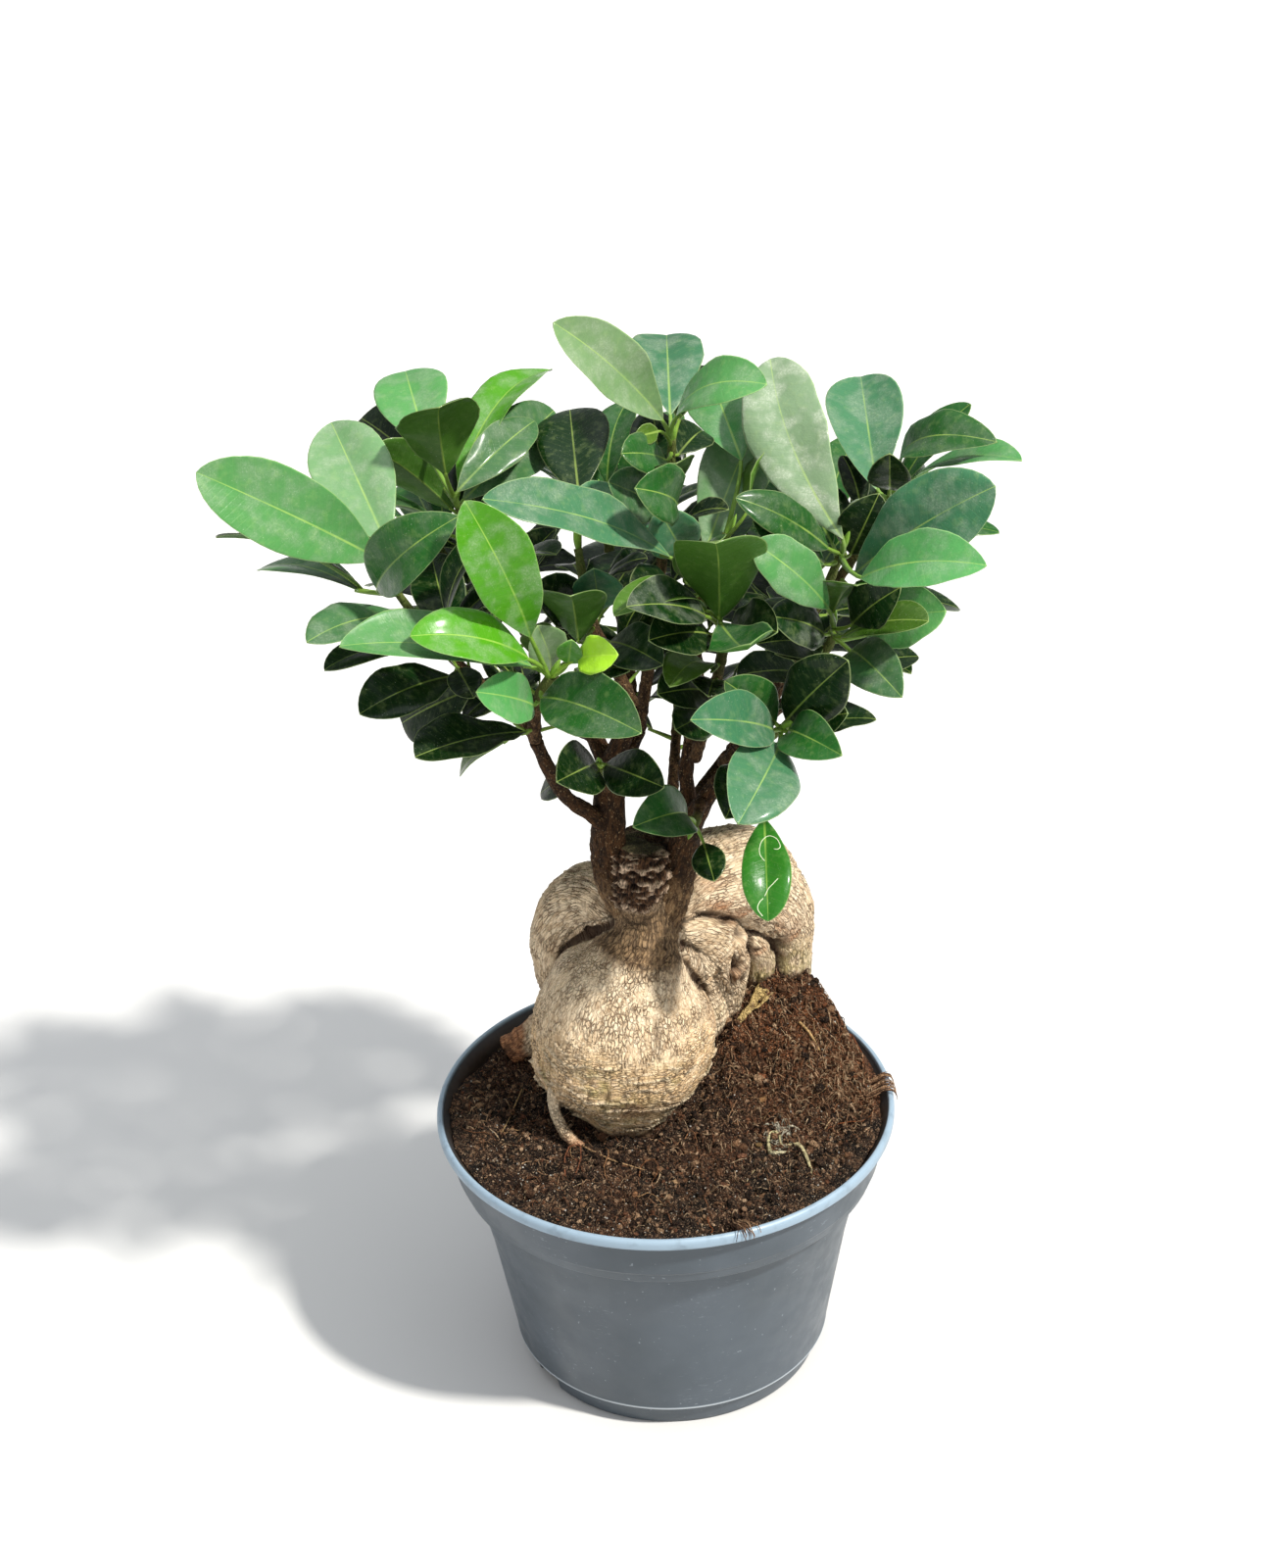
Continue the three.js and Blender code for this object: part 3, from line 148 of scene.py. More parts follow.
LEAFY_STEMS = {
    "left_front": {
        "twig": [(546, 755, -29, 2.3), (545, 728, -33, 2.2), (553, 706, -37, 2), (562, 690, -39, 1.8)],
        "leaves": {
            "bright_large": Measured((542, 651, -48), (476, 513), 58, 23, turn=12, arch=0.1, tone="new"),
            "bright_low": Measured((540, 672, -52), (421, 647), 45, 21, turn=35, arch=0.12, tone="new"),
            "long_low": Measured((544, 680, -46), (348, 656), 68, 24, turn=50, arch=0.06, tone="light"),
            "bud_round": Measured((580, 677, -44), (583, 654), 14, 9, tone="new"),
            "bud_yellow": Measured((590, 672, -48), (631, 668), 20, 13, turn=10, arch=0.12, tone="bud"),
            "fold_small": Measured((545, 720, -40), (491, 706), 36, 17, turn=15, tone="light"),
            "broad_lit": Measured((552, 712, -42), (652, 746), 50, 23, turn=18, arch=0.12),
            "flat_dark": Measured((538, 747, -34), (424, 772), 45, 22, turn=45, arch=0.06, tone="dark"),
        },
        "fill": {"count": 3, "toward": 200, "spread": 120, "long": 36},
    },
    "left_outer": {
        "twig": [
            (547, 752, -24, 2.1), (520, 722, -18, 1.9), (480, 688, -14, 1.8), (440, 652, -16, 1.6),
            (402, 600, -18, 1.3),
        ],
        "leaves": {
            "wide_light": Measured((388, 571, -20), (200, 482), 72, 27, turn=10, arch=0.06, tone="light"),
            "upright_pale": Measured((397, 560, -22), (338, 431), 58, 27, far=True, tone="pale"),
            "edge_long": Measured((372, 602, -10), (222, 544), 56, 20, turn=97, arch=0.08, tone="dark"),
            "under_grey": Measured((368, 603, -12), (264, 576), 45, 20, turn=68, far=True, tone="grey"),
            "front_broad": Measured((384, 601, -34), (463, 528), 46, 22, turn=20, arch=0.16),
            "dark_tip": Measured((420, 630, -22), (315, 650), 44, 21, turn=48, tone="grey"),
            "low_dark": Measured((462, 690, -20), (368, 727), 42, 20, turn=30, tone="dark"),
            "low_round": Measured((484, 702, -6), (410, 738), 36, 24, turn=15, far=True, tone="dark"),
            "thin_hang": Measured((516, 756, -14), (467, 789), 26, 11, turn=60, far=True, tone="olive"),
        },
        "fill": {"count": 7, "toward": 120, "spread": 150, "long": 42},
    },
    "left_upper": {
        "twig": [
            (575, 710, 20, 2.3), (545, 660, 26, 2.1), (505, 590, 28, 1.8), (478, 540, 26, 1.6),
            (467, 515, 24, 1.4),
        ],
        "leaves": {
            "round_light": Measured((438, 463, 26), (412, 373), 52, 26, far=True, tone="light"),
            "vivid_back": Measured((455, 486, 14), (447, 411), 44, 28, turn=172, arch=0.1, tone="under"),
            "arch_bright": Measured(
                (468, 500, 32), (561, 374), 62, 21, turn=45, arch=0.16, far=True, tone="new",
            ),
            "grey_inner": Measured((466, 502, 20), (546, 428), 42, 16, turn=15, far=True, tone="grey"),
            "grey_broad": Measured((471, 512, 28), (566, 418), 54, 24, far=True, tone="grey"),
            "vivid_left": Measured((463, 521, 30), (378, 455), 40, 21, turn=150, tone="under"),
            "dark_left": Measured((440, 482, 36), (368, 426), 44, 23, turn=10, far=True, tone="dark"),
        },
        "fill": {"count": 8, "toward": 80, "spread": 170, "long": 42},
    },
    "centre_left": {
        "twig": [
            (646, 722, -4, 2.6), (628, 680, 2, 2.2), (606, 640, 6, 1.9), (596, 600, 10, 1.7),
            (590, 560, 14, 1.4),
        ],
        "leaves": {
            "dark_gloss": Measured((591, 509, 22), (581, 413), 50, 26, far=True, tone="dark"),
            "vivid_low": Measured((590, 655, -14), (582, 603), 36, 22, turn=172, tone="under"),
            "blue_round": Measured((612, 622, 2), (606, 582), 24, 19, tone="blue"),
            "pale_flat": Measured((562, 684, -16), (548, 638), 28, 15, turn=25, tone="pale"),
            "dark_front": Measured((600, 632, 0), (548, 598), 32, 18, turn=20, tone="dark"),
            "gloss_right": Measured((622, 655, -10), (676, 678), 36, 18, turn=25, tone="gloss"),
            "under_low": Measured((594, 692, -16), (640, 682), 28, 14, turn=60, tone="dark"),
        },
        "fill": {"count": 6, "toward": 100, "spread": 140, "long": 38},
    },
    "top_centre": {
        "twig": [
            (652, 745, 34, 2.4), (662, 680, 30, 2.2), (672, 600, 22, 1.9), (682, 520, 14, 1.7),
            (686, 448, 10, 1.4),
        ],
        "leaves": {
            "long_left": Measured((677, 429, 8), (571, 330), 60, 21, turn=25, arch=0.06, tone="pale"),
            "round_up": Measured((684, 424, 18), (680, 337), 48, 25, far=True, tone="blue"),
            "arch_right": Measured((690, 424, 6), (780, 390), 42, 20, turn=55, arch=0.16, tone="light"),
            "dark_fold": Measured((692, 430, 22), (716, 374), 32, 14, turn=30, far=True, tone="dark"),
            "bud_left": Measured((672, 440, 2), (648, 446), 12, 7, tone="olive"),
            "small_right": Measured((692, 464, 11), (718, 438), 22, 14, turn=20, far=True, tone="dark"),
            "leaf_left": Measured((680, 470, 4), (636, 462), 28, 15, turn=30),
            "small_front": Measured((689, 500, 2), (690, 471), 26, 15, turn=165, tone="dark"),
            "grey_left": Measured((674, 520, 8), (622, 492), 34, 18, turn=20, tone="grey"),
            "blue_left": Measured((676, 542, 10), (586, 511), 42, 20, turn=55, tone="blue"),
            "wavy_low": Measured((690, 518, -10), (650, 498), 32, 20, turn=30, arch=0.14),
        },
        "fill": {"count": 9, "toward": 90, "spread": 170, "long": 40},
    },
    "centre_top": {
        "twig": [
            (705, 755, 4, 2.4), (712, 700, 2, 2.2), (710, 650, 2, 1.9), (716, 600, 4, 1.7),
            (742, 545, 12, 1.4),
        ],
        "leaves": {
            "tall_blue": Measured((719, 566, 14), (772, 431), 54, 25, turn=10, far=True, tone="pale"),
            "pale_behind": Measured((757, 470, 26), (720, 371), 48, 23, far=True, tone="light"),
            "olive_edge": Measured((762, 522, 7), (792, 448), 32, 18, turn=75, far=True, tone="olive"),
            "long_front": Measured((684, 568, -14), (490, 512), 76, 21, turn=50, arch=0.08, tone="blue"),
            "blue_low": Measured((700, 568, 4), (672, 520), 26, 19, tone="blue"),
            "vivid_edge": Measured((697, 590, -16), (733, 549), 30, 18, turn=105, tone="under"),
            "dark_left": Measured((694, 610, -4), (648, 602), 36, 20, turn=35, tone="dark"),
        },
        "fill": {"count": 7, "toward": 60, "spread": 150, "long": 38},
    },
    "centre_front": {
        "twig": [(709, 774, 1, 2.3), (728, 712, -9, 2.1), (738, 662, -20, 1.8), (735, 638, -24, 1.5)],
        "leaves": {
            "vivid_large": Measured((734, 632, -34), (731, 550), 50, 30, turn=172, tone="under"),
            "olive_arch": Measured((721, 622, -30), (627, 628), 40, 18, turn=60, arch=0.18, tone="olive"),
            "dark_flat": Measured((720, 628, -38), (641, 618), 40, 19, turn=40, tone="gloss"),
            "dark_under": Measured((726, 648, -30), (664, 652), 36, 19, turn=30, tone="dark"),
            "fold_front": Measured((734, 634, -34), (766, 658), 38, 22, turn=30, arch=-0.12),
            "right_dark": Measured((744, 642, -22), (792, 644), 34, 18, turn=30, tone="dark"),
            "arch_low": Measured((728, 684, -22), (684, 698), 30, 16, turn=60, arch=0.18, tone="olive"),
            "low_left": Measured((722, 706, -16), (672, 708), 34, 18, turn=25, tone="dark"),
            "low_mid": Measured((722, 730, -12), (690, 744), 28, 16, turn=10, tone="dark"),
        },
        "fill": {"count": 3, "toward": 90, "spread": 120, "long": 34},
    },
    "right_top": {
        "twig": [
            (746, 768, 28, 2.4), (790, 700, 16, 2.2), (822, 640, 8, 1.8), (848, 590, 2, 1.6),
            (859, 562, 0, 1.4),
        ],
        "leaves": {
            "tall_pink": Measured(
                (861, 551, -4), (786, 366), 70, 28, arch=0.06, bend=0.06, far=True, tone="pale_sheen",
            ),
            "broad_right": Measured(
                (872, 586, -12), (1012, 497), 62, 29, turn=10, arch=0.06, bend=0.02, tone="blue",
            ),
            "fold_right": Measured((878, 590, -42), (1003, 574), 48, 21, turn=30, arch=0.12, tone="light"),
            "left_long": Measured((846, 560, -8), (755, 507), 42, 16, turn=30),
            "left_round": Measured((850, 556, 12), (812, 484), 38, 21, far=True),
            "left_low": Measured((842, 576, -4), (768, 532), 38, 17, turn=25),
            "pink_bud": Measured((863, 552, 6), (879, 508), 17, 7, far=True, tone="pink"),
            "inner_dark": Measured((868, 566, 4), (896, 506), 28, 18, tone="dark"),
        },
        "fill": {"count": 7, "toward": 80, "spread": 160, "long": 40},
    },
    "right_rear": {
        "twig": [
            (772, 742, 42, 2.2), (802, 690, 48, 2.1), (850, 600, 44, 1.8), (890, 540, 38, 1.6),
            (910, 505, 34, 1.3),
        ],
        "leaves": {
            "tall_rear": Measured((895, 500, 36), (878, 382), 54, 27, far=True, tone="blue"),
            "arch_over": Measured((917, 482, 28), (1016, 450), 46, 21, turn=45, arch=0.26),
            "edge_right": Measured((930, 490, 22), (1042, 468), 46, 18, turn=74, arch=0.1, tone="light"),
            "dark_up": Measured((908, 500, 22), (908, 466), 26, 15, tone="dark"),
            "small_right": Measured((918, 502, 42), (946, 476), 26, 16, far=True, tone="dark"),
        },
        "fill": {"count": 10, "toward": 60, "spread": 170, "long": 42},
    },
    "right_mid": {
        "twig": [
            (737, 780, 20, 2.2), (782, 736, 6, 2), (825, 690, -4, 1.8), (848, 655, -12, 1.6),
            (850, 640, -14, 1.4),
        ],
        "leaves": {
            "fold_left": Measured((846, 622, -30), (770, 554), 40, 18, turn=20, arch=0.12, tone="light"),
            "vivid_fold": Measured((850, 624, -18), (874, 594), 28, 22, turn=130, tone="under"),
            "dark_up": Measured((869, 638, -26), (916, 600), 30, 18, turn=20, tone="dark"),
            "gloss_left": Measured((842, 648, -20), (790, 628), 34, 18, turn=30, tone="gloss"),
            "olive_right": Measured((858, 650, -28), (946, 632), 36, 18, turn=50, tone="olive"),
            "curl_right": Measured((884, 648, -8), (966, 624), 42, 22, turn=25, arch=0.16, tone="light"),
            "droop_right": Measured((868, 664, -20), (918, 708), 36, 18, turn=10, arch=0.16, tone="grey"),
            "dark_left": Measured((840, 660, -10), (776, 655), 34, 17, turn=30, tone="dark"),
            "wavy_left": Measured((822, 688, -4), (752, 690), 32, 15, turn=40, tone="dark"),
        },
        "fill": {"count": 5, "toward": 40, "spread": 140, "long": 38},
    },
    "right_low": {
        "twig": [(734, 795, -11, 2.3), (762, 772, -22, 2), (785, 752, -32, 1.8), (798, 743, -36, 1.4)],
        "leaves": {
            "lit_large": Measured((795, 760, -44), (755, 838), 50, 25, turn=-5, arch=0.12, tone="blue"),
            "left_blue": Measured((790, 745, -42), (706, 734), 44, 20, turn=20, arch=0.1, tone="blue"),
            "up_left": Measured((792, 738, -36), (742, 696), 34, 17, turn=15),
            "up_right": Measured((802, 736, -36), (864, 675), 44, 22, turn=10, tone="dark"),
            "right_curl": Measured((804, 747, -40), (855, 768), 34, 17, turn=10, arch=0.18),
            "right_dark": Measured((806, 742, -32), (866, 728), 32, 18, turn=20, tone="dark"),
            "low_dark": Measured((764, 780, -22), (742, 832), 34, 18, tone="dark"),
        },
        "fill": {"count": 4, "toward": 20, "spread": 100, "long": 34},
    },
    "low_centre": {
        "twig": [(619, 804, -1, 2.2), (616, 792, -12, 1.9), (613, 782, -16, 1.6)],
        "leaves": {
            "left_round": Measured((608, 779, -22), (568, 798), 36, 20, turn=5, tone="dark"),
            "right_oval": Measured((618, 780, -22), (677, 803), 34, 17, turn=5, tone="dark"),
            "behind_left": Measured((603, 785, -4), (552, 810), 28, 14, turn=40, far=True, tone="dark"),
        },
    },
    "low_right": {
        "twig": [(716, 818, -10, 2.2), (712, 832, -16, 1.9), (708, 842, -21, 1.6)],
        "leaves": {
            "bent_left": Measured((702, 834, -26), (649, 842), 34, 19, turn=20, arch=0.18),
            "small_hang": Measured((718, 860, -24), (729, 899), 20, 12, tone="dark"),
        },
    },
    "right_hang": {
        "twig": [(735, 797, -4, 2.2), (754, 808, 0, 1.8), (772, 822, -2, 1.5)],
        "leaves": {
            "scribbled": Measured((780, 834, -8), (784, 939), 40, 17.5, arch=0.1, tone="scribble"),
        },
    },
}

# Leafy stems that the front view hides, as x, y, z, radius

REAR_STEMS = {
    "back_left": {
        "twig": [(-32, 36, 250, 2.2), (-52, 47, 273, 2), (-70, 58, 299, 1.7), (-78, 63, 317, 1.4)],
        "fill": {"count": 14, "toward": 130, "spread": 120, "long": 46},
    },
    "back_centre": {
        "twig": [(-7, 45, 236, 2.3), (-8, 59, 263, 2.1), (-13, 72, 292, 1.8), (-16, 80, 317, 1.4)],
        "fill": {"count": 15, "toward": 90, "spread": 110, "long": 46},
    },
    "back_right": {
        "twig": [(27, 47, 223, 2.2), (41, 60, 251, 2.1), (55, 70, 281, 1.8), (62, 76, 303, 1.4)],
        "fill": {"count": 14, "toward": 50, "spread": 120, "long": 46},
    },
    "back_low": {
        "twig": [(6, 22, 224, 2.2), (8, 44, 235, 1.9), (10, 62, 249, 1.6)],
        "fill": {"count": 8, "toward": 90, "spread": 90, "long": 40},
    },
}

# The view that the visible leaves and stems were measured in

PICTURE = {"width": 1292, "height": 1600, "focal": 3000}
EYE = np.array([0.0, -901.0, 749.0])
PITCH, YAW, ROLL = (math.radians(angle) for angle in (29.29, -0.49, -2.1))


def view_axes():
    forward = np.array([
        math.sin(YAW) * math.cos(PITCH),
        math.cos(YAW) * math.cos(PITCH),
        -math.sin(PITCH),
    ])
    level = np.cross(forward, [0, 0, 1])
    level /= np.linalg.norm(level)
    upright = np.cross(level, forward)
    right = math.cos(ROLL) * level + math.sin(ROLL) * upright
    up = -math.sin(ROLL) * level + math.cos(ROLL) * upright
    return forward, right, up


FORWARD, RIGHT, UP = view_axes()


def unit(vector):
    return vector / np.linalg.norm(vector)


def sight_line(x, y):
    across = x - PICTURE["width"] / 2
    above = PICTURE["height"] / 2 - y
    return FORWARD * PICTURE["focal"] + RIGHT * across + UP * above


def seen_at(x, y, depth):
    """The point seen at picture place x, y whose Y coordinate is depth."""
    line = sight_line(x, y)
    return EYE + line * (depth - EYE[1]) / line[1]


def seen_path(path):
    """Picture x, picture y, depth, radius of a limb as x, y, z, radius."""
    return [(*seen_at(x, y, depth), radius) for x, y, depth, radius in path]


def picture_height(points):
    """How far down the picture points are seen."""
    offset = points - EYE
    return PICTURE["height"] / 2 - PICTURE["focal"] * (offset @ UP) / (offset @ FORWARD)


# Noise

CELLS = 8192
LATTICE = np.random.default_rng(11).random(CELLS)
PRIMES = (73856093, 19349663, 83492791)
SEED_STEP = 31.7


def noise(points, size, seed=0):
    """Smooth noise from -1 to 1 at points in millimetres. Size is that of its lumps, a number or x, y, z."""
    scaled = points / np.asarray(size, dtype=float) + seed * SEED_STEP
    cell = np.floor(scaled).astype(np.int64)
    share = scaled - cell
    share = share * share * (3 - 2 * share)
    total = np.zeros(len(points))
    for corner in range(8):
        step = np.array([corner & 1, corner >> 1 & 1, corner >> 2 & 1])
        at = cell + step
        key = (at[:, 0] * PRIMES[0] ^ at[:, 1] * PRIMES[1] ^ at[:, 2] * PRIMES[2]) & (CELLS - 1)
        total += LATTICE[key] * np.prod(np.where(step == 1, share, 1 - share), axis=1)
    return 2 * total - 1


def rough(points, size, octaves=3, seed=0):
    """Noise with finer noise added to it."""
    total = np.zeros(len(points))
    for i in range(octaves):
        total += noise(points, np.asarray(size, dtype=float) / 2**i, seed + i) / 2**i
    return total


def smoothstep(low, high, value):
    share = np.clip((value - low) / (high - low), 0, 1)
    return share * share * (3 - 2 * share)


def distance_to(points, place):
    return np.linalg.norm(points - np.asarray(place, dtype=float), axis=1)


# Meshes

LIMB_APART = 200  # between the lengths travelled on one limb and the next, so that their grain differs


class Pile:
    """Meshes gathered into one object, with a value of each attribute for every vertex."""

    def __init__(self):
        self.vertices = []
        self.faces = []
        self.values = {}
        self.count = 0

    def add(self, vertices, faces, **values):
        vertices = np.asarray(vertices, dtype=float)
        for group in faces:
            self.faces.extend((np.asarray(group) + self.count).tolist())
        self.vertices.append(vertices)
        for name, value in values.items():
            value = np.asarray(value, dtype=float)
            if value.ndim == 0 or (value.ndim == 1 and len(value) == 3 and len(vertices) != 3):
                value = np.broadcast_to(value, (len(vertices),) + value.shape)
            self.values.setdefault(name, []).append(value)
        self.count += len(vertices)

    def build(self, name, material, slot, *nodes):
        points = np.concatenate(self.vertices)
        values = {key: np.concatenate(value) for key, value in self.values.items()}
        finish_piece(name, new_mesh(name, points, self.faces), material, nodes, values)


def set_values(mesh, values):
    """Numbers or colours for every vertex, each under its name."""
    for name, value in values.items():
        value = value.astype(np.float32)
        if value.ndim == 1:
            mesh.attributes.new(name, "FLOAT", "POINT").data.foreach_set("value", value)
        else:
            colour = np.ones((len(value), 4), dtype=np.float32)
            colour[:, :3] = value
            mesh.attributes.new(name, "FLOAT_COLOR", "POINT").data.foreach_set("color", colour.ravel())


def in_scene(name, data):
    """A new object in the scene."""
    made = bpy.data.objects.new(name, data)
    bpy.context.scene.collection.objects.link(made)
    return made


def new_mesh(name, points, faces):
    """A mesh from points in millimetres."""
    mesh = bpy.data.meshes.new(name)
    mesh.from_pydata((points * MM).tolist(), [], faces)
    mesh.update()
    return mesh


def applied(made):
    """The mesh of an object with its modifiers applied. The object and its own mesh go."""
    before = made.data
    mesh = bpy.data.meshes.new_from_object(made.evaluated_get(bpy.context.evaluated_depsgraph_get()))
    bpy.data.objects.remove(made)
    bpy.data.meshes.remove(before)
    return mesh


def finish_piece(name, mesh, material, nodes, values=None):
    """A smooth object on the root body that stands for the nodes."""
    mesh.polygons.foreach_set("use_smooth", np.ones(len(mesh.polygons), dtype=bool))
    set_values(mesh, values or {})
    mesh.materials.clear()
    mesh.materials.append(material)
    piece = in_scene(name, mesh)
    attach(piece, "root")
    if nodes:
        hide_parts(*nodes)


def thinned(mesh, share):
    """The mesh with the given share of its triangles, fewest where it is flat. It keeps its values."""
    whole = in_scene("whole", mesh)
    whole.modifiers.new("fewer", "DECIMATE").ratio = share
    return applied(whole)


def smooth_curve(controls, count):
    """Points along a centripetal Catmull-Rom curve through the controls, of any number of columns."""
    controls = np.asarray(controls, dtype=float)
    first = 2 * controls[0] - controls[1]
    last = 2 * controls[-1] - controls[-2]
    padded = np.vstack([first, controls, last])
    points = []
    for share in np.linspace(0, 1, count):
        place = share * (len(controls) - 1)
        i = min(int(place), len(controls) - 2)
        points.append(curve_point(padded[i:i + 4], place - i))
    return np.array(points)


def curve_point(four, share):
    p0, p1, p2, p3 = four
    middle = np.linalg.norm(p2 - p1) ** 0.5
    middle = middle if middle > 1e-4 else 1.0
    before = np.linalg.norm(p1 - p0) ** 0.5
    before = before if before > 1e-4 else middle
    after = np.linalg.norm(p3 - p2) ** 0.5
    after = after if after > 1e-4 else middle
    leave = ((p1 - p0) / before - (p2 - p0) / (before + middle) + (p2 - p1) / middle) * middle
    arrive = ((p2 - p1) / middle - (p3 - p1) / (middle + after) + (p3 - p2) / after) * middle
    cubic = 2 * p1 - 2 * p2 + leave + arrive
    square = -3 * p1 + 3 * p2 - 2 * leave - arrive
    return p1 + share * (leave + share * (square + share * cubic))


def tube(points, radii, sides):
    """A round tube along the points, closed at both ends. Gives vertices, faces and each vertex's share."""
    points = np.asarray(points, dtype=float)
    across = np.array([1.0, 0, 0]) if abs(unit(points[1] - points[0])[0]) < 0.9 else np.array([0, 1.0, 0])
    turns = np.arange(sides) * 2 * math.pi / sides
    rings = []
    for point, heading, radius in zip(points, np.gradient(points, axis=0), radii):
        heading = unit(heading)
        across = unit(across - heading * across.dot(heading))
        third = np.cross(heading, across)
        rings.append(point + radius * (np.outer(np.cos(turns), across) + np.outer(np.sin(turns), third)))
    count = len(points)
    first, last, end = count * sides, count * sides + 1, (count - 1) * sides
    step = np.arange(sides)
    after = (step + 1) % sides
    faces = [
        grid_faces(count, sides, around=True),
        np.stack([np.full(sides, first), after, step], axis=1),
        np.stack([np.full(sides, last), end + step, end + after], axis=1),
    ]
    share = np.append(np.repeat(np.linspace(0, 1, count), sides), [0, 1])
    return np.vstack([*rings, points[0], points[-1]]), faces, share


def grid_faces(rows, columns, around=False):
    """Quads between the rows of a grid of vertices. Around joins the last column to the first."""
    last = columns if around else columns - 1
    row, column = np.meshgrid(np.arange(rows - 1), np.arange(last), indexing="ij")
    a = (row * columns + column).ravel()
    b = (row * columns + (column + 1) % columns).ravel()
    return np.stack([a, b, b + columns, a + columns], axis=1)


def sheet_faces(rows, columns):
    """Faces of a thin sheet, outward: a grid for its upper side, one for its lower side and its edge."""
    count = rows * columns
    top = grid_faces(rows, columns)
    left, step = np.arange(rows - 1) * columns, np.arange(columns - 1)
    right, end = left + columns - 1, (rows - 1) * columns
    edges = [(left, left + columns), (right + columns, right), (step + 1, step), (end + step, end + step + 1)]
    strips = [np.stack([a, b, b + count, a + count], axis=1) for a, b in edges]
    return [quads[:, [0, 3, 2, 1]] for quads in (top, top[:, ::-1] + count, *strips)]


def grid_places(rows, columns):
    """The row value and the column value of every vertex of a grid."""
    return (values.ravel() for values in np.meshgrid(rows, columns, indexing="ij"))


def limb_line(path, spacing):
    """A limb, a list of x, y, z, radius, as an array, and points spaced along its middle."""
    path = np.asarray(path, dtype=float)
    length = np.linalg.norm(np.diff(path[:, :3], axis=0), axis=1).sum()
    return path, smooth_curve(path[:, :3], max(6, int(length / spacing)))


def joined_limbs(name, paths, sides, spacing, voxel, smoothing):
    """Limbs, as lists of x, y, z, radius, melted into one skin. Gives a mesh in metres."""
    pile = Pile()
    for limb in paths:
        path, centres = limb_line(limb, spacing)
        radii = smooth_curve(np.column_stack([path[:, 3], np.zeros((len(path), 2))]), len(centres))[:, 0]
        vertices, faces, _ = tube(centres, radii, sides)
        pile.add(vertices, faces)
    made = in_scene(name + "_limbs", new_mesh(name + "_limbs", np.concatenate(pile.vertices), pile.faces))
    remesh = made.modifiers.new("skin", "REMESH")
    remesh.mode = "VOXEL"
    remesh.voxel_size = voxel * MM
    smooth = made.modifiers.new("smooth", "SMOOTH")
    smooth.factor = 0.5
    smooth.iterations = smoothing
    return applied(made)


def read_vectors(items, field):
    vectors = np.empty(len(items) * 3, dtype=np.float32)
    items.foreach_get(field, vectors)
    return vectors.reshape(-1, 3).astype(float)


def mesh_points(mesh):
    return read_vectors(mesh.vertices, "co") / MM


def mesh_normals(mesh):
    return read_vectors(mesh.vertex_normals, "vector")


def move_points(mesh, points):
    mesh.vertices.foreach_set("co", (points * MM).astype(np.float32).ravel())
    mesh.update()


def smoothed(mesh, points, rounds):
    """The points of a mesh after each has moved to the middle of its neighbours, over and over."""
    ends = np.empty(len(mesh.edges) * 2, dtype=np.int32)
    mesh.edges.foreach_get("vertices", ends)
    a, b = ends.reshape(-1, 2).T
    count = len(points)
    degree = np.bincount(a, minlength=count) + np.bincount(b, minlength=count)
    for _ in range(rounds):
        sums = []
        for column in points.T:
            one_way = np.bincount(a, weights=column[b], minlength=count)
            sums.append(one_way + np.bincount(b, weights=column[a], minlength=count))
        points = np.stack(sums, axis=1) / degree[:, None]
    return points


def limb_frames(paths, spacing=1.2):
    """Centres along all the limbs, with their radius, the length travelled and three axes each."""
    centres, radii, travelled, axes = [], [], [], []
    for number, limb in enumerate(paths):
        path, points = limb_line(limb, spacing)
        across = np.array([1.0, 0, 0])
        for heading in np.gradient(points, axis=0):
            heading = unit(heading)
            across = unit(across - heading * across.dot(heading))
            axes.append([across, np.cross(heading, across), heading])
        centres.append(points)
        places = np.linspace(0, len(path) - 1, len(points))
        radii.append(np.interp(places, np.arange(len(path)), path[:, 3]))
        steps = np.linalg.norm(np.diff(points, axis=0), axis=1)
        travelled.append(np.append(0, np.cumsum(steps)) + LIMB_APART * number)
    return np.concatenate(centres), np.concatenate(radii), np.concatenate(travelled), np.array(axes)


def in_parts(count, size=4000):
    """Slices that together cover count items, so that no one step needs much memory."""
    return [slice(start, start + size) for start in range(0, count, size)]


def grain_of(points, paths):
    """Each point in the frame of the limb it lies on: two places across the limb and one along it."""
    centres, radii, travelled, axes = limb_frames(paths)
    grain = np.empty_like(points)
    for part in in_parts(len(points)):
        gaps = np.linalg.norm(points[part, None] - centres, axis=2) - radii
        near = gaps.argmin(axis=1)
        grain[part] = np.einsum("pij,pj->pi", axes[near], points[part] - centres[near])
        grain[part, 2] += travelled[near]
    return grain


def limb_gaps(points, paths):
    """How far each point is outside the surface of each limb."""
    gaps = np.empty((len(points), len(paths)))
    for k, path in enumerate(paths):
        centres, radii, _, _ = limb_frames([path])
        for part in in_parts(len(points), 20000):
            gaps[part, k] = (np.linalg.norm(points[part, None] - centres, axis=2) - radii).min(axis=1)
    return gaps


def sunken(mesh, points, normals, rounds):
    """How deep each point of a mesh lies under the mesh smoothed by a number of rounds."""
    return np.einsum("ij,ij->i", smoothed(mesh, points, rounds) - points, normals)


def nearest_others(points, limbs, groups):
    """Which group of limbs each point lies on, and how far it is from the nearest of the other groups."""
    gaps = limb_gaps(points, [limbs[name] for group in groups for name in group])
    ends = np.cumsum([0, *(len(group) for group in groups)])
    nearest = np.stack([gaps[:, a:b].min(axis=1) for a, b in zip(ends, ends[1:])], axis=1)
    return nearest.argmin(axis=1), np.sort(nearest, axis=1)[:, 1]


SAME_SIDE = 9  # how far behind the nearest point of a spot the wood still belongs to it


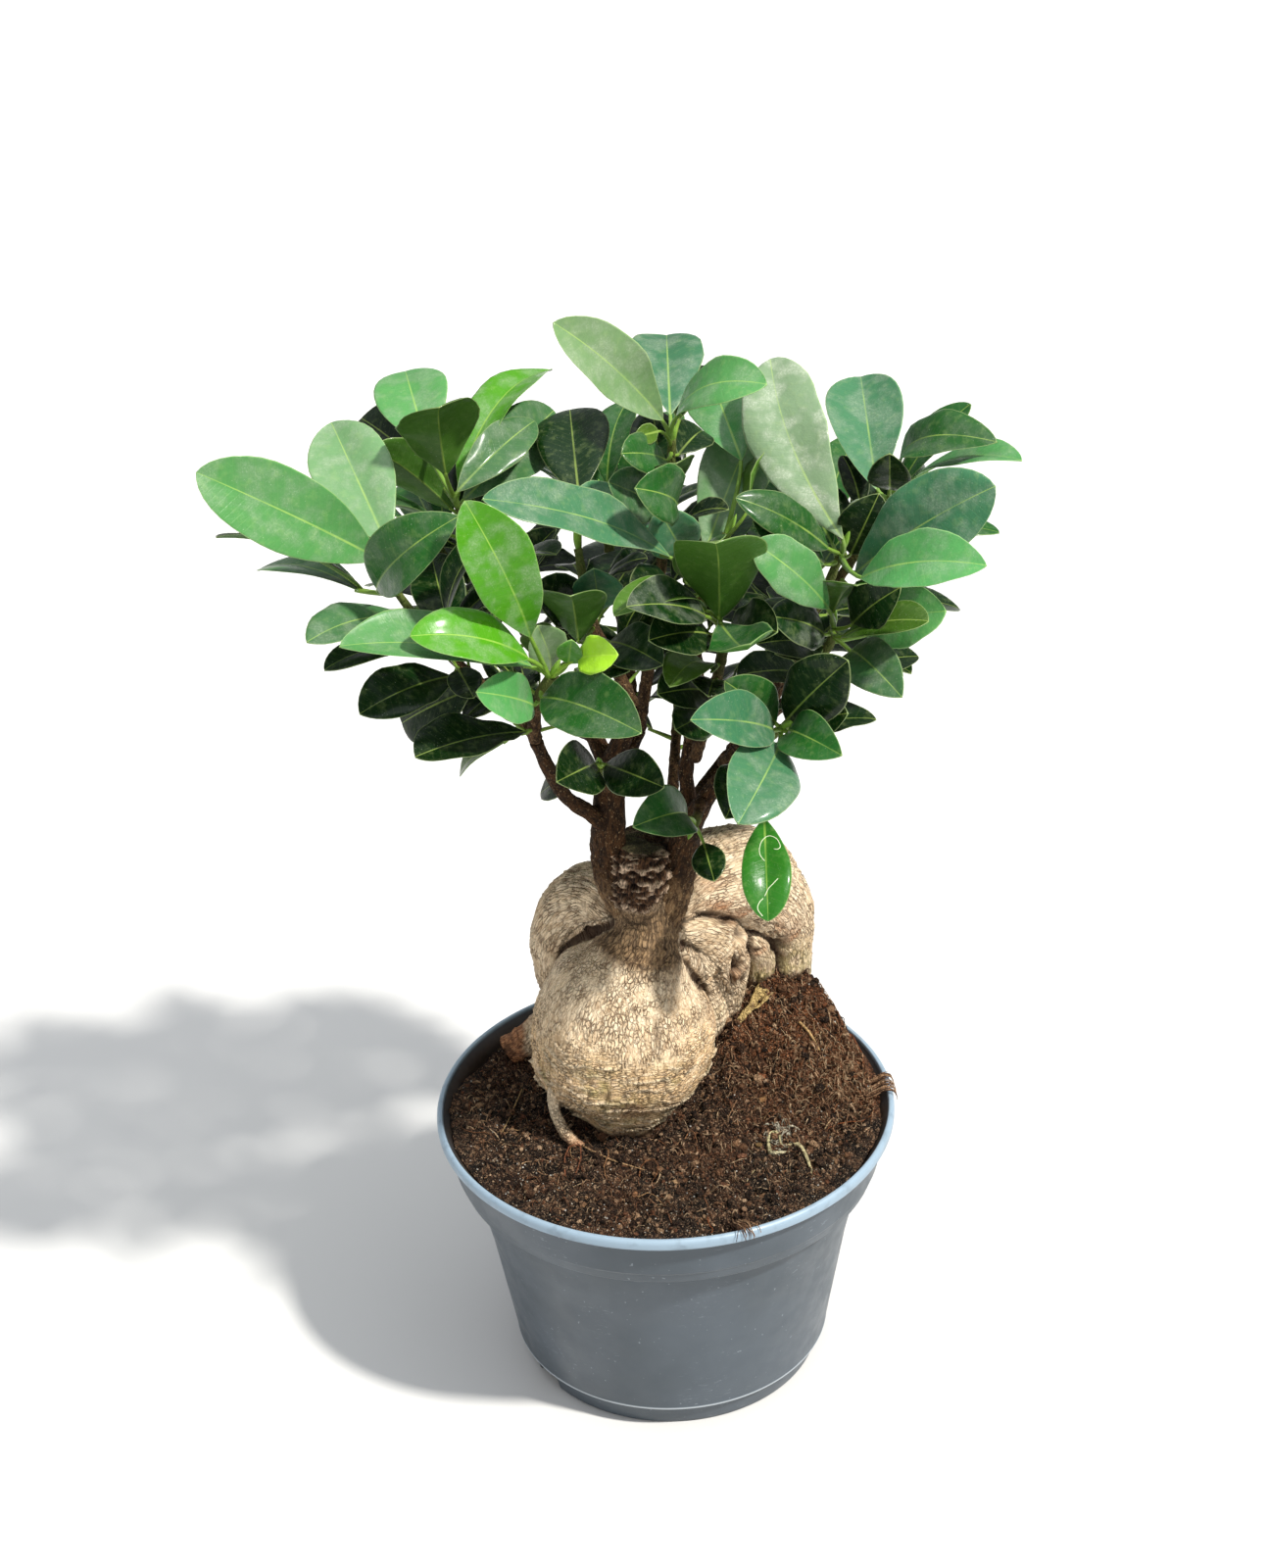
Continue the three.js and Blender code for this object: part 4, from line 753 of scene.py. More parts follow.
def spot(points, normals, x, y, wide, tall):
    """How much each point of a skin belongs to an oval at picture place x, y, on the side seen there."""
    line = unit(sight_line(x, y))
    offset = points - EYE
    depth = offset @ line
    offset = offset - depth[:, None] * line
    square = (offset @ RIGHT / wide) ** 2 + (offset @ UP / tall) ** 2
    inside = square < 1
    if not inside.any():
        return np.zeros(len(points))
    near = depth < depth[inside].min() + SAME_SIDE
    return np.exp(-square * 1.5) * near * smoothstep(0.25, -0.1, normals @ line)


# Materials

def linear(red, green, blue):
    """A colour of the screen, 0 to 255, as linear light."""
    shares = [value / 255 for value in (red, green, blue)]
    return tuple(s / 12.92 if s <= 0.04045 else ((s + 0.055) / 1.055) ** 2.4 for s in shares)


class Shader:
    """Builds the nodes of one material. A colour is the screen's red, green and blue, 0 to 255."""

    def __init__(self, name, **constants):
        self.material = bpy.data.materials.new(name)
        self.material.use_nodes = True
        self.tree = self.material.node_tree
        self.surface = self.tree.nodes["Principled BSDF"]
        for key, value in constants.items():
            self.surface.inputs[key.replace("_", " ")].default_value = value
        self.place = self.tree.nodes.new("ShaderNodeTexCoord").outputs["Object"]

    def put(self, socket, value):
        if isinstance(value, bpy.types.NodeSocket):
            self.tree.links.new(value, socket)
        elif socket.type == "RGBA":
            socket.default_value = (*linear(*value), 1)
        else:
            socket.default_value = value

    def node(self, kind, settings=None, **inputs):
        made = self.tree.nodes.new("ShaderNode" + kind)
        for key, value in (settings or {}).items():
            setattr(made, key, value)
        for key, value in inputs.items():
            self.put(made.inputs[key.replace("_", " ")], value)
        return made

    def combine(self, kind, operation, first, second, second_input=1):
        made = self.node(kind, {"operation": operation})
        self.put(made.inputs[0], first)
        self.put(made.inputs[second_input], second)
        return made.outputs[0]

    def math(self, operation, first, second):
        return self.combine("Math", operation, first, second)

    def times(self, first, second):
        return self.math("MULTIPLY", first, second)

    def plus(self, first, second):
        return self.math("ADD", first, second)

    def value(self, name, kind="Fac"):
        """What the mesh holds under a name, as a number, or as a Color or a Vector."""
        return self.node("Attribute", {"attribute_name": name}).outputs[kind]

    def stretched(self, *scale):
        """The place with each axis scaled, so that a texture on it is drawn out."""
        return self.node("Mapping", Vector=self.place, Scale=scale).outputs["Vector"]

    def noise(self, size, detail=3.0, roughness=0.55, where=None, distortion=0.0):
        """Noise from 0 to 1 with lumps of a size in millimetres."""
        return self.node(
            "TexNoise", Vector=where or self.place, Scale=1 / (size * MM), Detail=detail,
            Roughness=roughness, Distortion=distortion,
        ).outputs["Fac"]

    def cells(self, size, where):
        """How far a place is from the edges of cells of a size in millimetres."""
        feature = {"feature": "DISTANCE_TO_EDGE"}
        return self.node("TexVoronoi", feature, Vector=where, Scale=1 / (size * MM)).outputs["Distance"]

    def cell_tones(self, size, where):
        """A number from 0 to 1 that each cell has for itself."""
        made = self.node("TexVoronoi", Vector=where, Scale=1 / (size * MM))
        return self.node("SeparateColor", Color=made.outputs["Color"]).outputs[0]

    def bent(self, where, size, reach):
        """A place moved about by noise, both in millimetres."""
        swirl = self.node("TexNoise", Vector=where, Scale=1 / (size * MM), Detail=3.0).outputs["Color"]
        centred = self.combine("VectorMath", "SUBTRACT", swirl, (0.5, 0.5, 0.5))
        moved = self.combine("VectorMath", "SCALE", centred, 2 * reach * MM, "Scale")
        return self.combine("VectorMath", "ADD", where, moved)

    def between(self, value, low, high, start=0.0, end=1.0):
        """Value mapped smoothly from low..high to start..end."""
        return self.node(
            "MapRange", {"interpolation_type": "SMOOTHSTEP"}, Value=value, From_Min=low, From_Max=high,
            To_Min=start, To_Max=end,
        ).outputs["Result"]

    def mix(self, share, first, second):
        made = self.node("Mix", {"data_type": "RGBA"})
        self.put(made.inputs[0], share)
        self.put(made.inputs[6], first)
        self.put(made.inputs[7], second)
        return made.outputs[2]

    def layers(self, colour, *over):
        """The colour with others laid over it one after another, each a pair of its share and itself."""
        for share, upper in over:
            colour = self.mix(share, colour, upper)
        return colour

    def finish(self, colour, roughness, relief=None, depth=0.0, strength=1.0):
        """The material, with bumps of a depth in millimetres where the relief is 1."""
        self.put(self.surface.inputs["Base Color"], colour)
        self.put(self.surface.inputs["Roughness"], roughness)
        if relief is not None:
            bump = self.node("Bump", Height=relief, Distance=depth * MM, Strength=strength)
            self.put(self.surface.inputs["Normal"], bump.outputs["Normal"])
        return self.material


def pot_material():
    m = Shader("pot_plastic", Specular_IOR_Level=0.5)
    scratch = m.noise(3.5, 2, where=m.stretched(1, 1, 9), distortion=0.6)
    marks = m.times(m.between(scratch, 0.64, 0.72), m.between(m.noise(22, 2), 0.52, 0.62))
    specks = m.between(m.noise(1.6, 1), 0.74, 0.78)
    # A painted highlight: the lip's top and outer face are made lighter.
    lip = m.times(m.value("lip"), m.between(m.noise(6, 3), 0.25, 0.5, 0.7, 1.0))
    # The inside wall above the soil is darkened, for soil stain and painted shade.
    stain_and_shade = m.times(m.value("inner"), m.between(m.noise(9, 3), 0.3, 0.6, 0.75, 1.0))
    colour = m.layers(
        m.mix(m.between(m.noise(40, 4), 0.35, 0.65), (66, 75, 83), (75, 84, 93)),
        (m.math("MAXIMUM", m.times(marks, 0.4), m.times(specks, 0.35)), (165, 175, 185)),
        (m.times(lip, 0.9), (144, 165, 182)),
        # A painted highlight on the bead of the seam.
        (m.times(m.value("seam_highlight"), 0.65), (190, 198, 204)),
        (stain_and_shade, m.mix(m.noise(2.5, 3), (26, 20, 17), (62, 52, 44))),
    )
    relief = m.plus(m.times(m.noise(1.2, 3), 0.35), m.noise(14, 2))
    return m.finish(colour, m.between(m.noise(9, 3), 0.3, 0.7, 0.34, 0.48), relief, 0.1, 0.4)


def soil_material():
    m = Shader("peat", Specular_IOR_Level=0.2)
    fine = m.noise(0.55, 4, 0.7)
    place = m.bent(m.place, 1.6, 0.9)
    coarse, small, small_tone = m.cells(2.4, place), m.cells(0.9, place), m.cell_tones(0.9, place)
    lumps = m.cell_tones(5, m.bent(m.place, 3, 1.8))
    # Painted shade in the narrow gaps between crumbs.
    gap_shade = m.math("MAXIMUM", m.between(coarse, 0.16, 0.0), m.between(small, 0.14, 0.0, 0, 0.85))
    colour = m.layers(
        m.mix(m.between(m.noise(2.6, 5, 0.65), 0.42, 0.62), (28, 20, 15), (82, 59, 45)),
        (m.between(m.cell_tones(2.4, place), 0.55, 1.0, 0, 0.7), (142, 106, 79)),
        (m.between(small_tone, 0.66, 1.0, 0, 0.85), (178, 143, 112)),
        (m.between(small_tone, 0.4, 0.0, 0, 0.8), (16, 11, 9)),
        (m.between(m.noise(20, 3), 0.42, 0.64, 0, 0.3), (60, 42, 31)),
        (m.between(lumps, 0.5, 0.15, 0, 0.65), (20, 14, 10)),
        (m.between(lumps, 0.65, 1.0, 0, 0.4), (158, 116, 86)),
        (m.times(m.value("red"), 0.6), (180, 112, 70)),
        (m.times(gap_shade, 0.9), (8, 6, 5)),
        (m.between(fine, 0.57, 0.68, 0, 0.9), (216, 184, 150)),
        (m.value("tint_share"), m.value("tint", "Color")),
    )
    relief = m.plus(m.between(coarse, 0, 0.3, 0, 1.0), m.between(small, 0, 0.25, 0, 0.5))
    return m.finish(colour, 0.95, m.plus(relief, m.times(fine, 0.5)), 1.5)


def rootstock_material():
    m = Shader("ficus_root", Specular_IOR_Level=0.2)
    grain = m.value("grain", "Vector")
    upright = m.bent(grain, 2.0, 0.8)
    level = m.bent(m.stretched(1, 1, 2.6), 4, 1.3)
    streaks = m.noise(1.4, 4, 0.6, where=grain, distortion=0.4)
    fine = m.noise(0.45, 3, 0.65, where=grain)
    low, crease, raised = m.value("low"), m.value("crease"), m.value("raised")
    flake = m.mix(low, m.cell_tones(1.3, upright), m.cell_tones(2.8, level))
    furrow = m.mix(low, m.cells(1.3, upright), m.cells(2.8, level))
    strong = m.between(m.noise(7, 3), 0.36, 0.62, 0.25, 1.0)
    line = m.between(furrow, 0.12, 0.015)
    half = m.between(fine, 0.4, 0.6)
    neck = m.layers(
        m.mix(m.between(streaks, 0.42, 0.58), (84, 64, 44), (142, 114, 82)),
        (m.between(fine, 0.58, 0.7, 0, 0.7), (178, 154, 118)),
        (m.times(line, 0.5), (48, 34, 24)),
    )
    corky = m.layers(
        m.mix(half, (42, 26, 16), (100, 70, 46)),
        # A painted highlight on the cork's raised flakes.
        (m.times(raised, m.between(fine, 0.38, 0.56, 0.35, 1.0)), (232, 202, 172)),
        (crease, (26, 16, 12)),
    )
    colour = m.layers(
        m.mix(m.between(m.noise(18, 3), 0.35, 0.65), (222, 197, 162), (244, 222, 189)),
        # A painted lightening of the tuber's lower part, making up for the shade it lies in.
        (m.times(low, 0.7), (244, 204, 150)),
        (m.between(streaks, 0.54, 0.38, 0, 0.5), (158, 124, 90)),
        (m.between(flake, 0.55, 1.0, 0, 0.55), (236, 218, 190)),
        (m.between(flake, 0.4, 0.0, 0, 0.3), (160, 132, 102)),
        (m.times(m.times(line, strong), 0.8), (92, 66, 44)),
        (m.between(fine, 0.47, 0.34, 0, 0.5), (120, 90, 62)),
        (m.between(fine, 0.58, 0.7, 0, 0.55), (240, 226, 202)),
        # The raised value lightens the bark's pale pimples and, as a painted highlight, the lit tops of the
        # lips and cork flakes.
        (m.times(raised, 0.8), (228, 210, 180)),
        (m.times(m.value("moss"), m.between(m.noise(5, 3), 0.36, 0.6)), (150, 142, 78)),
        (m.value("earth"), (84, 58, 41)),
        (m.value("neck"), neck),
        (m.value("rust"), m.mix(half, (104, 60, 36), (182, 124, 82))),
        # The crease value darkens the wood's own cracks and, as painted shade, the clefts between limbs, the
        # shadow under the lips and the hollows.
        (crease, (58, 38, 26)),
        (m.value("cork"), corky),
        (m.value("scar"), m.mix(half, (58, 54, 36), (96, 90, 62))),
    )
    plate = m.times(m.between(furrow, 0.0, 0.2), m.times(strong, 0.9))
    relief = m.plus(m.plus(m.times(streaks, 0.6), m.times(fine, 0.5)), plate)
    return m.finish(colour, 0.8, m.plus(relief, m.times(flake, m.times(low, 0.7))), 0.85)


def bark_material():
    m = Shader("ficus_bark", Specular_IOR_Level=0.12)
    grain = m.value("grain", "Vector")
    mid = m.noise(1.8, 4, 0.6, where=grain)
    fine = m.noise(0.5, 3, 0.6, where=grain)
    furrow = m.cells(1.5, m.bent(grain, 2.5, 0.8))
    aged = m.mix(m.between(mid, 0.42, 0.58), (74, 55, 38), (124, 98, 70))
    colour = m.layers(
        m.mix(m.between(mid, 0.38, 0.62), (34, 21, 11), (70, 46, 26)),
        (m.between(fine, 0.56, 0.7, 0, 0.5), (140, 112, 80)),
        (m.times(m.between(furrow, 0.1, 0.01), 0.5), (30, 20, 14)),
        (m.value("aged"), m.mix(m.between(fine, 0.58, 0.7, 0, 0.7), aged, (178, 154, 118))),
        (m.between(m.noise(0.8, 1), 0.67, 0.74, 0, 0.6), (170, 146, 112)),
        # The crease value holds dark cracks of the bark and, on the grafts, painted shade in their crevices.
        (m.value("crease"), (34, 23, 16)),
        (m.value("green"), (88, 104, 50)),
    )
    relief = m.plus(m.plus(mid, m.times(fine, 0.5)), m.times(m.between(furrow, 0, 0.2), 0.6))
    return m.finish(colour, 0.75, relief, 0.45, 0.9)


def leaf_material():
    m = Shader("ficus_leaf", Specular_IOR_Level=0.12, Coat_Weight=0.2, Coat_Roughness=0.15)
    tint, under = m.value("tint", "Color"), m.value("under")
    speckle = m.between(m.noise(0.7, 3, 0.7), 0.42, 0.68, 0.45, 1.0)
    # Pale mottles of painted glint that stand for the gloss's highlights, laid on each leaf by how much
    # painted glint its tone has.
    sheen_mottle = m.times(m.times(m.between(m.noise(8, 2), 0.4, 0.66), speckle), 0.75)
    line = m.between(m.math("PINGPONG", m.value("vein"), 0.5), 0.12, 0.0)
    rib = m.times(m.between(m.value("rib"), 0.6, 0.2), m.between(m.noise(12, 1), 0.35, 0.6, 0.35, 0.7))
    edge = m.between(m.value("margin"), 0.4, 0.12)
    colour = m.layers(
        tint,
        (m.between(m.noise(8, 3), 0.32, 0.68, 0, 0.45), m.mix(0.4, tint, (14, 40, 16))),
        (m.between(m.noise(3.0, 3), 0.5, 0.72, 0, 0.3), m.mix(0.3, tint, (170, 190, 120))),
        (m.times(m.value("glint"), sheen_mottle), m.mix(0.6, tint, (226, 230, 214))),
        (m.times(line, 0.07), m.mix(0.35, tint, (180, 200, 120))),
        (m.times(under, 0.3), (104, 150, 60)),
        (rib, m.mix(0.5, tint, (186, 212, 104))),
        (m.times(edge, 0.42), m.mix(0.55, tint, (200, 218, 150))),
        (m.times(m.between(m.noise(0.45, 1), 0.7, 0.78), 0.28), (200, 210, 190)),
    )
    roughness = m.plus(m.between(m.noise(5, 4, 0.65), 0.3, 0.7, 0.26, 0.5), m.times(under, 0.18))
    relief = m.math("SUBTRACT", m.times(m.noise(0.6, 2), 0.12), m.times(line, 0.05))
    return m.finish(colour, roughness, m.plus(relief, m.noise(6, 3)), 0.6, 0.8)


def floor_material():
    m = Shader("pale_floor", Specular_IOR_Level=0.1)
    return m.finish(m.mix(m.noise(900, 2), (204, 204, 203), (208, 208, 207)), 0.9)


# The pot

def rounded_profile(corners):
    """Radius and height points with each corner cut by a small curve."""
    points = []
    for i, (radius, height, rounding) in enumerate(corners):
        here = np.array([radius, height], dtype=float)
        if rounding == 0 or i in (0, len(corners) - 1):
            points.append(here)
            continue
        before = np.array(corners[i - 1][:2]) - here
        after = np.array(corners[i + 1][:2]) - here
        start = here + unit(before) * min(rounding, np.linalg.norm(before) * 0.45)
        end = here + unit(after) * min(rounding, np.linalg.norm(after) * 0.45)
        for share in (0, 0.25, 0.5, 0.75, 1):
            points.append(start * (1 - share) ** 2 + 2 * here * share * (1 - share) + end * share**2)
    return np.array(points)


def refined(profile, longest=2.5):
    points = [profile[0]]
    for start, end in zip(profile, profile[1:]):
        pieces = max(1, int(np.linalg.norm(end - start) / longest))
        points.extend(start + (end - start) * (k + 1) / pieces for k in range(pieces))
    return np.array(points)


def lathed(profile, segments):
    """Vertices and quads of a profile turned round the pot's axis."""
    turns = np.arange(segments) * 2 * math.pi / segments
    radius, height = profile[:, :1], profile[:, 1:]
    x = radius * np.cos(turns)
    y = radius * np.sin(turns)
    z = np.broadcast_to(height, x.shape)
    vertices = np.stack([x, y, z], axis=-1).reshape(-1, 3)
    return vertices, grid_faces(len(profile), segments, around=True)


def make_pot():
    corners = [(0, 0, 0), *POT_OUTSIDE, *POT_INSIDE, (0, POT_FLOOR, 0)]
    profile = refined(rounded_profile(corners))
    profile[0, 0] = profile[-1, 0] = 0.4
    vertices, quads = lathed(profile, POT_SEGMENTS)
    last = (len(profile) - 1) * POT_SEGMENTS
    caps = [list(range(POT_SEGMENTS))[::-1], [last + i for i in range(POT_SEGMENTS)]]
    shell = in_scene("pot_uncut", new_mesh("pot_uncut", vertices, [*quads.tolist(), *caps]))
    cutter = drain_cutter()
    cut = shell.modifiers.new("drain", "BOOLEAN")
    cut.operation = "DIFFERENCE"
    cut.object = cutter
    cut.solver = "EXACT"
    made = applied(shell)
    bpy.data.objects.remove(cutter)
    x, y, height = mesh_points(made).T
    radius = np.hypot(x, y)
    outside = np.interp(height, [corner[1] for corner in POT_OUTSIDE], [corner[0] for corner in POT_OUTSIDE])
    inner = smoothstep(1.0, 1.8, outside - radius) * smoothstep(107.5, 105.5, height)
    values = {
        # Where the lip gets its painted highlight.
        "lip": smoothstep(103.6, 104.4, height) * smoothstep(82.9, 83.3, radius),
        # The bead of the seam, which gets a painted highlight.
        "seam_highlight": smoothstep(0.7, 0.2, np.abs(height - 10)) * (radius > 59),
        # The inside wall above the soil, darkened for soil stain and painted shade.
        "inner": inner * (height > POT_FLOOR - 0.1),
    }
    finish_piece("pot_shell", made, pot_material(), ["pot"], values)


def drain_cutter():
    """Drills for the floor's holes and rounded blocks for the notches in the foot."""
    build = bmesh.new()
    radius, depth = DRAIN["radius"] * MM, DRAIN["long"] * MM
    for i in range(DRAIN["count"]):
        turn = Matrix.Rotation((i + 0.5) * 2 * math.pi / DRAIN["count"], 4, "Z")
        place = turn @ Matrix.Translation((DRAIN["from_centre"] * MM, 0, 0))
        bmesh.ops.create_cone(
            build, cap_ends=True, segments=32, radius1=radius, radius2=radius, depth=depth, matrix=place,
        )
    size = Matrix.Diagonal((NOTCH["long"] * MM, NOTCH["width"] * MM, 2 * NOTCH["height"] * MM, 1))
    middle = Matrix.Translation((NOTCH["from_centre"] * MM, 0, 0))
    for angle in NOTCH["angles"]:
        turn = Matrix.Rotation(math.radians(angle), 4, "Z")
        made = bmesh.ops.create_cube(build, size=1, matrix=turn @ middle @ size)
        edges = list({edge for vertex in made["verts"] for edge in vertex.link_edges})
        bmesh.ops.bevel(build, geom=edges, offset=1.5 * MM, segments=3, affect="EDGES", profile=0.5)
    mesh = bpy.data.meshes.new("drain_cutter")
    build.to_mesh(mesh)
    build.free()
    return in_scene("drain_cutter", mesh)


# The soil

def swelling(part, x, y):
    square = (x - part["x"]) ** 2 + (y - part["y"]) ** 2
    return part["height"] * np.exp(-square / (2 * part["spread"] ** 2))


def soil_height(x, y):
    edge = 1 - smoothstep(*MOUND_EDGE, np.hypot(x, y))
    ripple = 0.8 * np.sin(x * 0.21 + 1) * np.cos(y * 0.17)
    heaps = edge * swelling(MOUND, x, y) + sum(swelling(bank, x, y) for bank in BANKS)
    return SOIL_LEVEL + ripple + heaps + swelling(HOLLOW, x, y)


def inside_radius(height):
    """Radius of the pot's inside at a height above its shoulder."""
    return np.interp(height, [SHOULDER[1], BRIM[1], LIP[1]], [SHOULDER[0], BRIM[0], LIP[0]])


def soil_clumps(x, y):
    """Height of the crumbly surface over the soil's even top."""
    flat = np.stack([x, y, np.zeros_like(x)], axis=1)
    lumps = 1.6 * noise(flat, 9, 1) + 1.6 * noise(flat, 4.2, 2) + 1.3 * noise(flat, 2.1, 3)
    return lumps + 0.9 * noise(flat, 1.1, 4) - 1.2 * smoothstep(0.3, 0.8, noise(flat, 3.0, 5))


def soil_top(x, y):
    x, y = np.atleast_1d(x).astype(float), np.atleast_1d(y).astype(float)
    edge = 1 - smoothstep(70, 79, np.hypot(x, y))
    return soil_height(x, y) + soil_clumps(x, y) * (0.35 + 0.65 * edge)


def make_soil(material):
    rings, segments = SOIL_GRID
    turns = np.arange(segments) * 2 * math.pi / segments
    radius = inside_radius(SOIL_LEVEL) * np.linspace(1, 0.004, rings)[:, None]
    x = (radius * np.cos(turns)).ravel()
    y = (radius * np.sin(turns)).ravel()
    z = soil_top(x, y)
    inward = np.minimum(1, (inside_radius(z) - 0.5) / np.hypot(x, y))
    top = np.stack([x * inward, y * inward, z], axis=1)
    skirt = top[:segments] * (0.9, 0.9, 0)
    skirt[:, 2] = SKIRT_LEVEL
    vertices = np.vstack([skirt, top])
    pile = Pile()
    faces = [grid_faces(rings + 1, segments, around=True)]
    pile.add(vertices, faces, red=soil_redness(vertices), tint_share=0.0, tint=(0, 0, 0))
    pile.faces.append([segments * rings + i for i in range(segments)])
    pile.build("soil_surface", material, "soil", "soil")


def soil_redness(points):
    near = swelling(REDDISH, points[:, 0], points[:, 1])
    return np.clip(near + 0.35 * noise(points, 14, 9), 0, 1)


def crumb_shape(fineness):
    """A small angular lump, radius one."""
    build = bmesh.new()
    bmesh.ops.create_icosphere(build, subdivisions=fineness, radius=1)
    points = np.array([vertex.co[:] for vertex in build.verts])
    faces = np.array([[vertex.index for vertex in face.verts] for face in build.faces])
    build.free()
    return points, faces


def turned(points, draw):
    """Points turned at random."""
    turn = np.linalg.qr(draw.normal(size=(3, 3)))[0]
    if np.linalg.det(turn) < 0:
        turn[:, 0] *= -1
    return points @ turn


def soil_place(draw, reach):
    """A random place on the soil, clear of the wood."""
    while True:
        x, y = draw.uniform(-reach, reach, 2)
        if math.hypot(x, y) < reach and not under_wood(x, y):
            return x, y


def soil_seen_at(px, py):
    """The place on the soil that is seen first at a picture place."""
    line = sight_line(px, py)
    heights = np.linspace(150, 96, 181)
    points = EYE + np.outer((heights - EYE[2]) / line[2], line)
    hidden = heights < soil_height(points[:, 0], points[:, 1])
    x, y, _ = points[hidden.argmax()]
    return x, y


FEET = [(-14, -4, 15), (-37, 3, 9), (-30, 45, 9), (45, 54, 10), (24, 43, 8)]  # x, y, radius at the soil


def under_wood(x, y):
    return any(math.hypot(x - a, y - b) < radius for a, b, radius in FEET)


CRUMBS = {
    "count": 4600, "reach": SOIL_REACH, "smallest": 0.24, "larger": 1.1, "rarity": 2.4,
    "tints": [
        (20, 14, 11), (34, 24, 18), (56, 40, 31), (88, 65, 50), (124, 94, 72), (164, 129, 101),
        (204, 170, 137), (116, 76, 54),
    ],
}
# Single things on the soil, as picture x, picture y, size x, y and z in millimetres, and tint
SCRAPS = [
    (777, 1099, (2.6, 2.0, 1.3), (176, 112, 76)), (690, 1208, (2.6, 1.6, 0.6), (196, 158, 118)),
    (648, 1222, (2.2, 1.2, 0.6), (168, 120, 84)), (872, 1100, (2.4, 1.5, 0.6), (150, 98, 66)),
    (600, 1222, (1.8, 1.3, 0.5), (160, 120, 86)), (842, 1024, (2.4, 1.4, 0.6), (140, 88, 58)),
    (505, 1130, (1.8, 1.2, 0.6), (96, 70, 50)), (740, 1212, (2.0, 1.2, 0.5), (186, 144, 106)),
    (777, 1122, (2.0, 3.0, 0.7), (172, 128, 84)), (757, 1182, (2.2, 1.6, 0.8), (150, 104, 78)),
    (774, 1170, (1.6, 1.4, 0.7), (140, 112, 72)),
]
# White specks. Every second one lies only in front of a y and further out than a radius.
PERLITE = {
    "count": 1100, "reach": 78.5, "size": (0.14, 0.4), "front": -20, "outside": 45,
    "tints": [(236, 231, 222), (206, 196, 180), (222, 206, 182)],
}
CLODS = {
    "count": 340, "reach": 75, "size": (0.8, 2.2),
    "tints": [
        (15, 10, 8), (24, 17, 13), (44, 31, 23), (66, 45, 32), (124, 88, 62), (168, 128, 94), (196, 158, 122),
    ],
}


def picked(draw, tints):
    return np.array(linear(*tints[draw.integers(len(tints))]))


def lay_lump(pile, lump, faces, place, raised, tint, share, red=0.2):
    """A lump on the soil at place, an x and a y, with its middle raised by a height."""
    height = soil_top(*place)[0] + raised
    pile.add(lump + (*place, height), [faces], tint=tint, tint_share=share, red=red)


def make_crumbs(material):
    draw = np.random.default_rng(21)
    ball, faces = crumb_shape(1)
    big_ball, big_faces = crumb_shape(2)
    pile = Pile()
    for _ in range(CRUMBS["count"]):
        place = soil_place(draw, CRUMBS["reach"])
        size = CRUMBS["smallest"] + CRUMBS["larger"] * draw.uniform(0, 1) ** CRUMBS["rarity"]
        stretch = np.array([1, draw.uniform(0.5, 1), draw.uniform(0.3, 0.8)]) * size
        lump = ball * draw.uniform(0.65, 1.25, (len(ball), 1))
        tint = picked(draw, CRUMBS["tints"])
        lay_lump(pile, turned(lump * stretch, draw), faces, place, 0.25 * size, tint, 0.85)
    for _ in range(CLODS["count"]):
        place = soil_place(draw, CLODS["reach"])
        size = draw.uniform(*CLODS["size"])
        lump = big_ball * (1 + 0.5 * noise(big_ball + draw.uniform(0, 50, 3), 0.7, 8)[:, None])
        stretch = np.array([1, draw.uniform(0.6, 1), draw.uniform(0.5, 0.8)]) * size
        tint = picked(draw, CLODS["tints"])
        lay_lump(pile, turned(lump * stretch, draw), big_faces, place, 0.1 * size, tint, 0.65)
    for i in range(PERLITE["count"]):
        place = soil_place(draw, PERLITE["reach"])
        if i % 2 and (place[1] > PERLITE["front"] or math.hypot(*place) < PERLITE["outside"]):
            continue
        size = draw.uniform(*PERLITE["size"])
        tint = picked(draw, PERLITE["tints"]) * draw.uniform(0.7, 1.0)
        lay_lump(pile, turned(ball * size, draw), faces, place, 0.7 * size + 0.1, tint, 1.0, 0.0)
    for px, py, size, tint in SCRAPS:
        lump = ball * draw.uniform(0.8, 1.1, (len(ball), 1)) * size
        spin = draw.uniform(0, math.pi)
        cos, sin = math.cos(spin), math.sin(spin)
        lump = lump @ np.array([[cos, sin, 0], [-sin, cos, 0], [0, 0, 1]])
        lay_lump(pile, lump, faces, soil_seen_at(px, py), 0.5 * size[2], linear(*tint), 0.95, 0.0)
    pile.build("soil_crumbs", material, "soil")


def lay_fibre(pile, places, radius, tint, rise, sides=3, share=0.9):
    """A thin fibre that lies on the soil over places, a list of x and y."""
    places = np.asarray(places, dtype=float)
    places = places / np.maximum(1, np.hypot(*places.T) / SOIL_REACH)[:, None]
    along = np.linspace(0, 1, len(places))
    height = soil_top(*places.T) + rise * np.sin(math.pi * along) + 0.25
    path = smooth_curve(np.column_stack([places, height]), 3 * len(places) // 2)
    radii = radius * (1 - 0.55 * np.linspace(0, 1, len(path)) ** 2)
    add_tube(pile, path, radii, sides, tint=tint, tint_share=share, red=0.2)


def add_tube(pile, path, radii, sides, **values):
    vertices, faces, _ = tube(path, radii, sides)
    pile.add(vertices, faces, **values)


def wandering(draw, start, heading, length, curl, count):
    """Places along a line that turns at random."""
    headings = heading + np.cumsum(draw.normal(0, curl, count))
    steps = np.stack([np.cos(headings), np.sin(headings)], axis=1) * length / count
    return np.asarray(start) + np.cumsum(steps, axis=0)


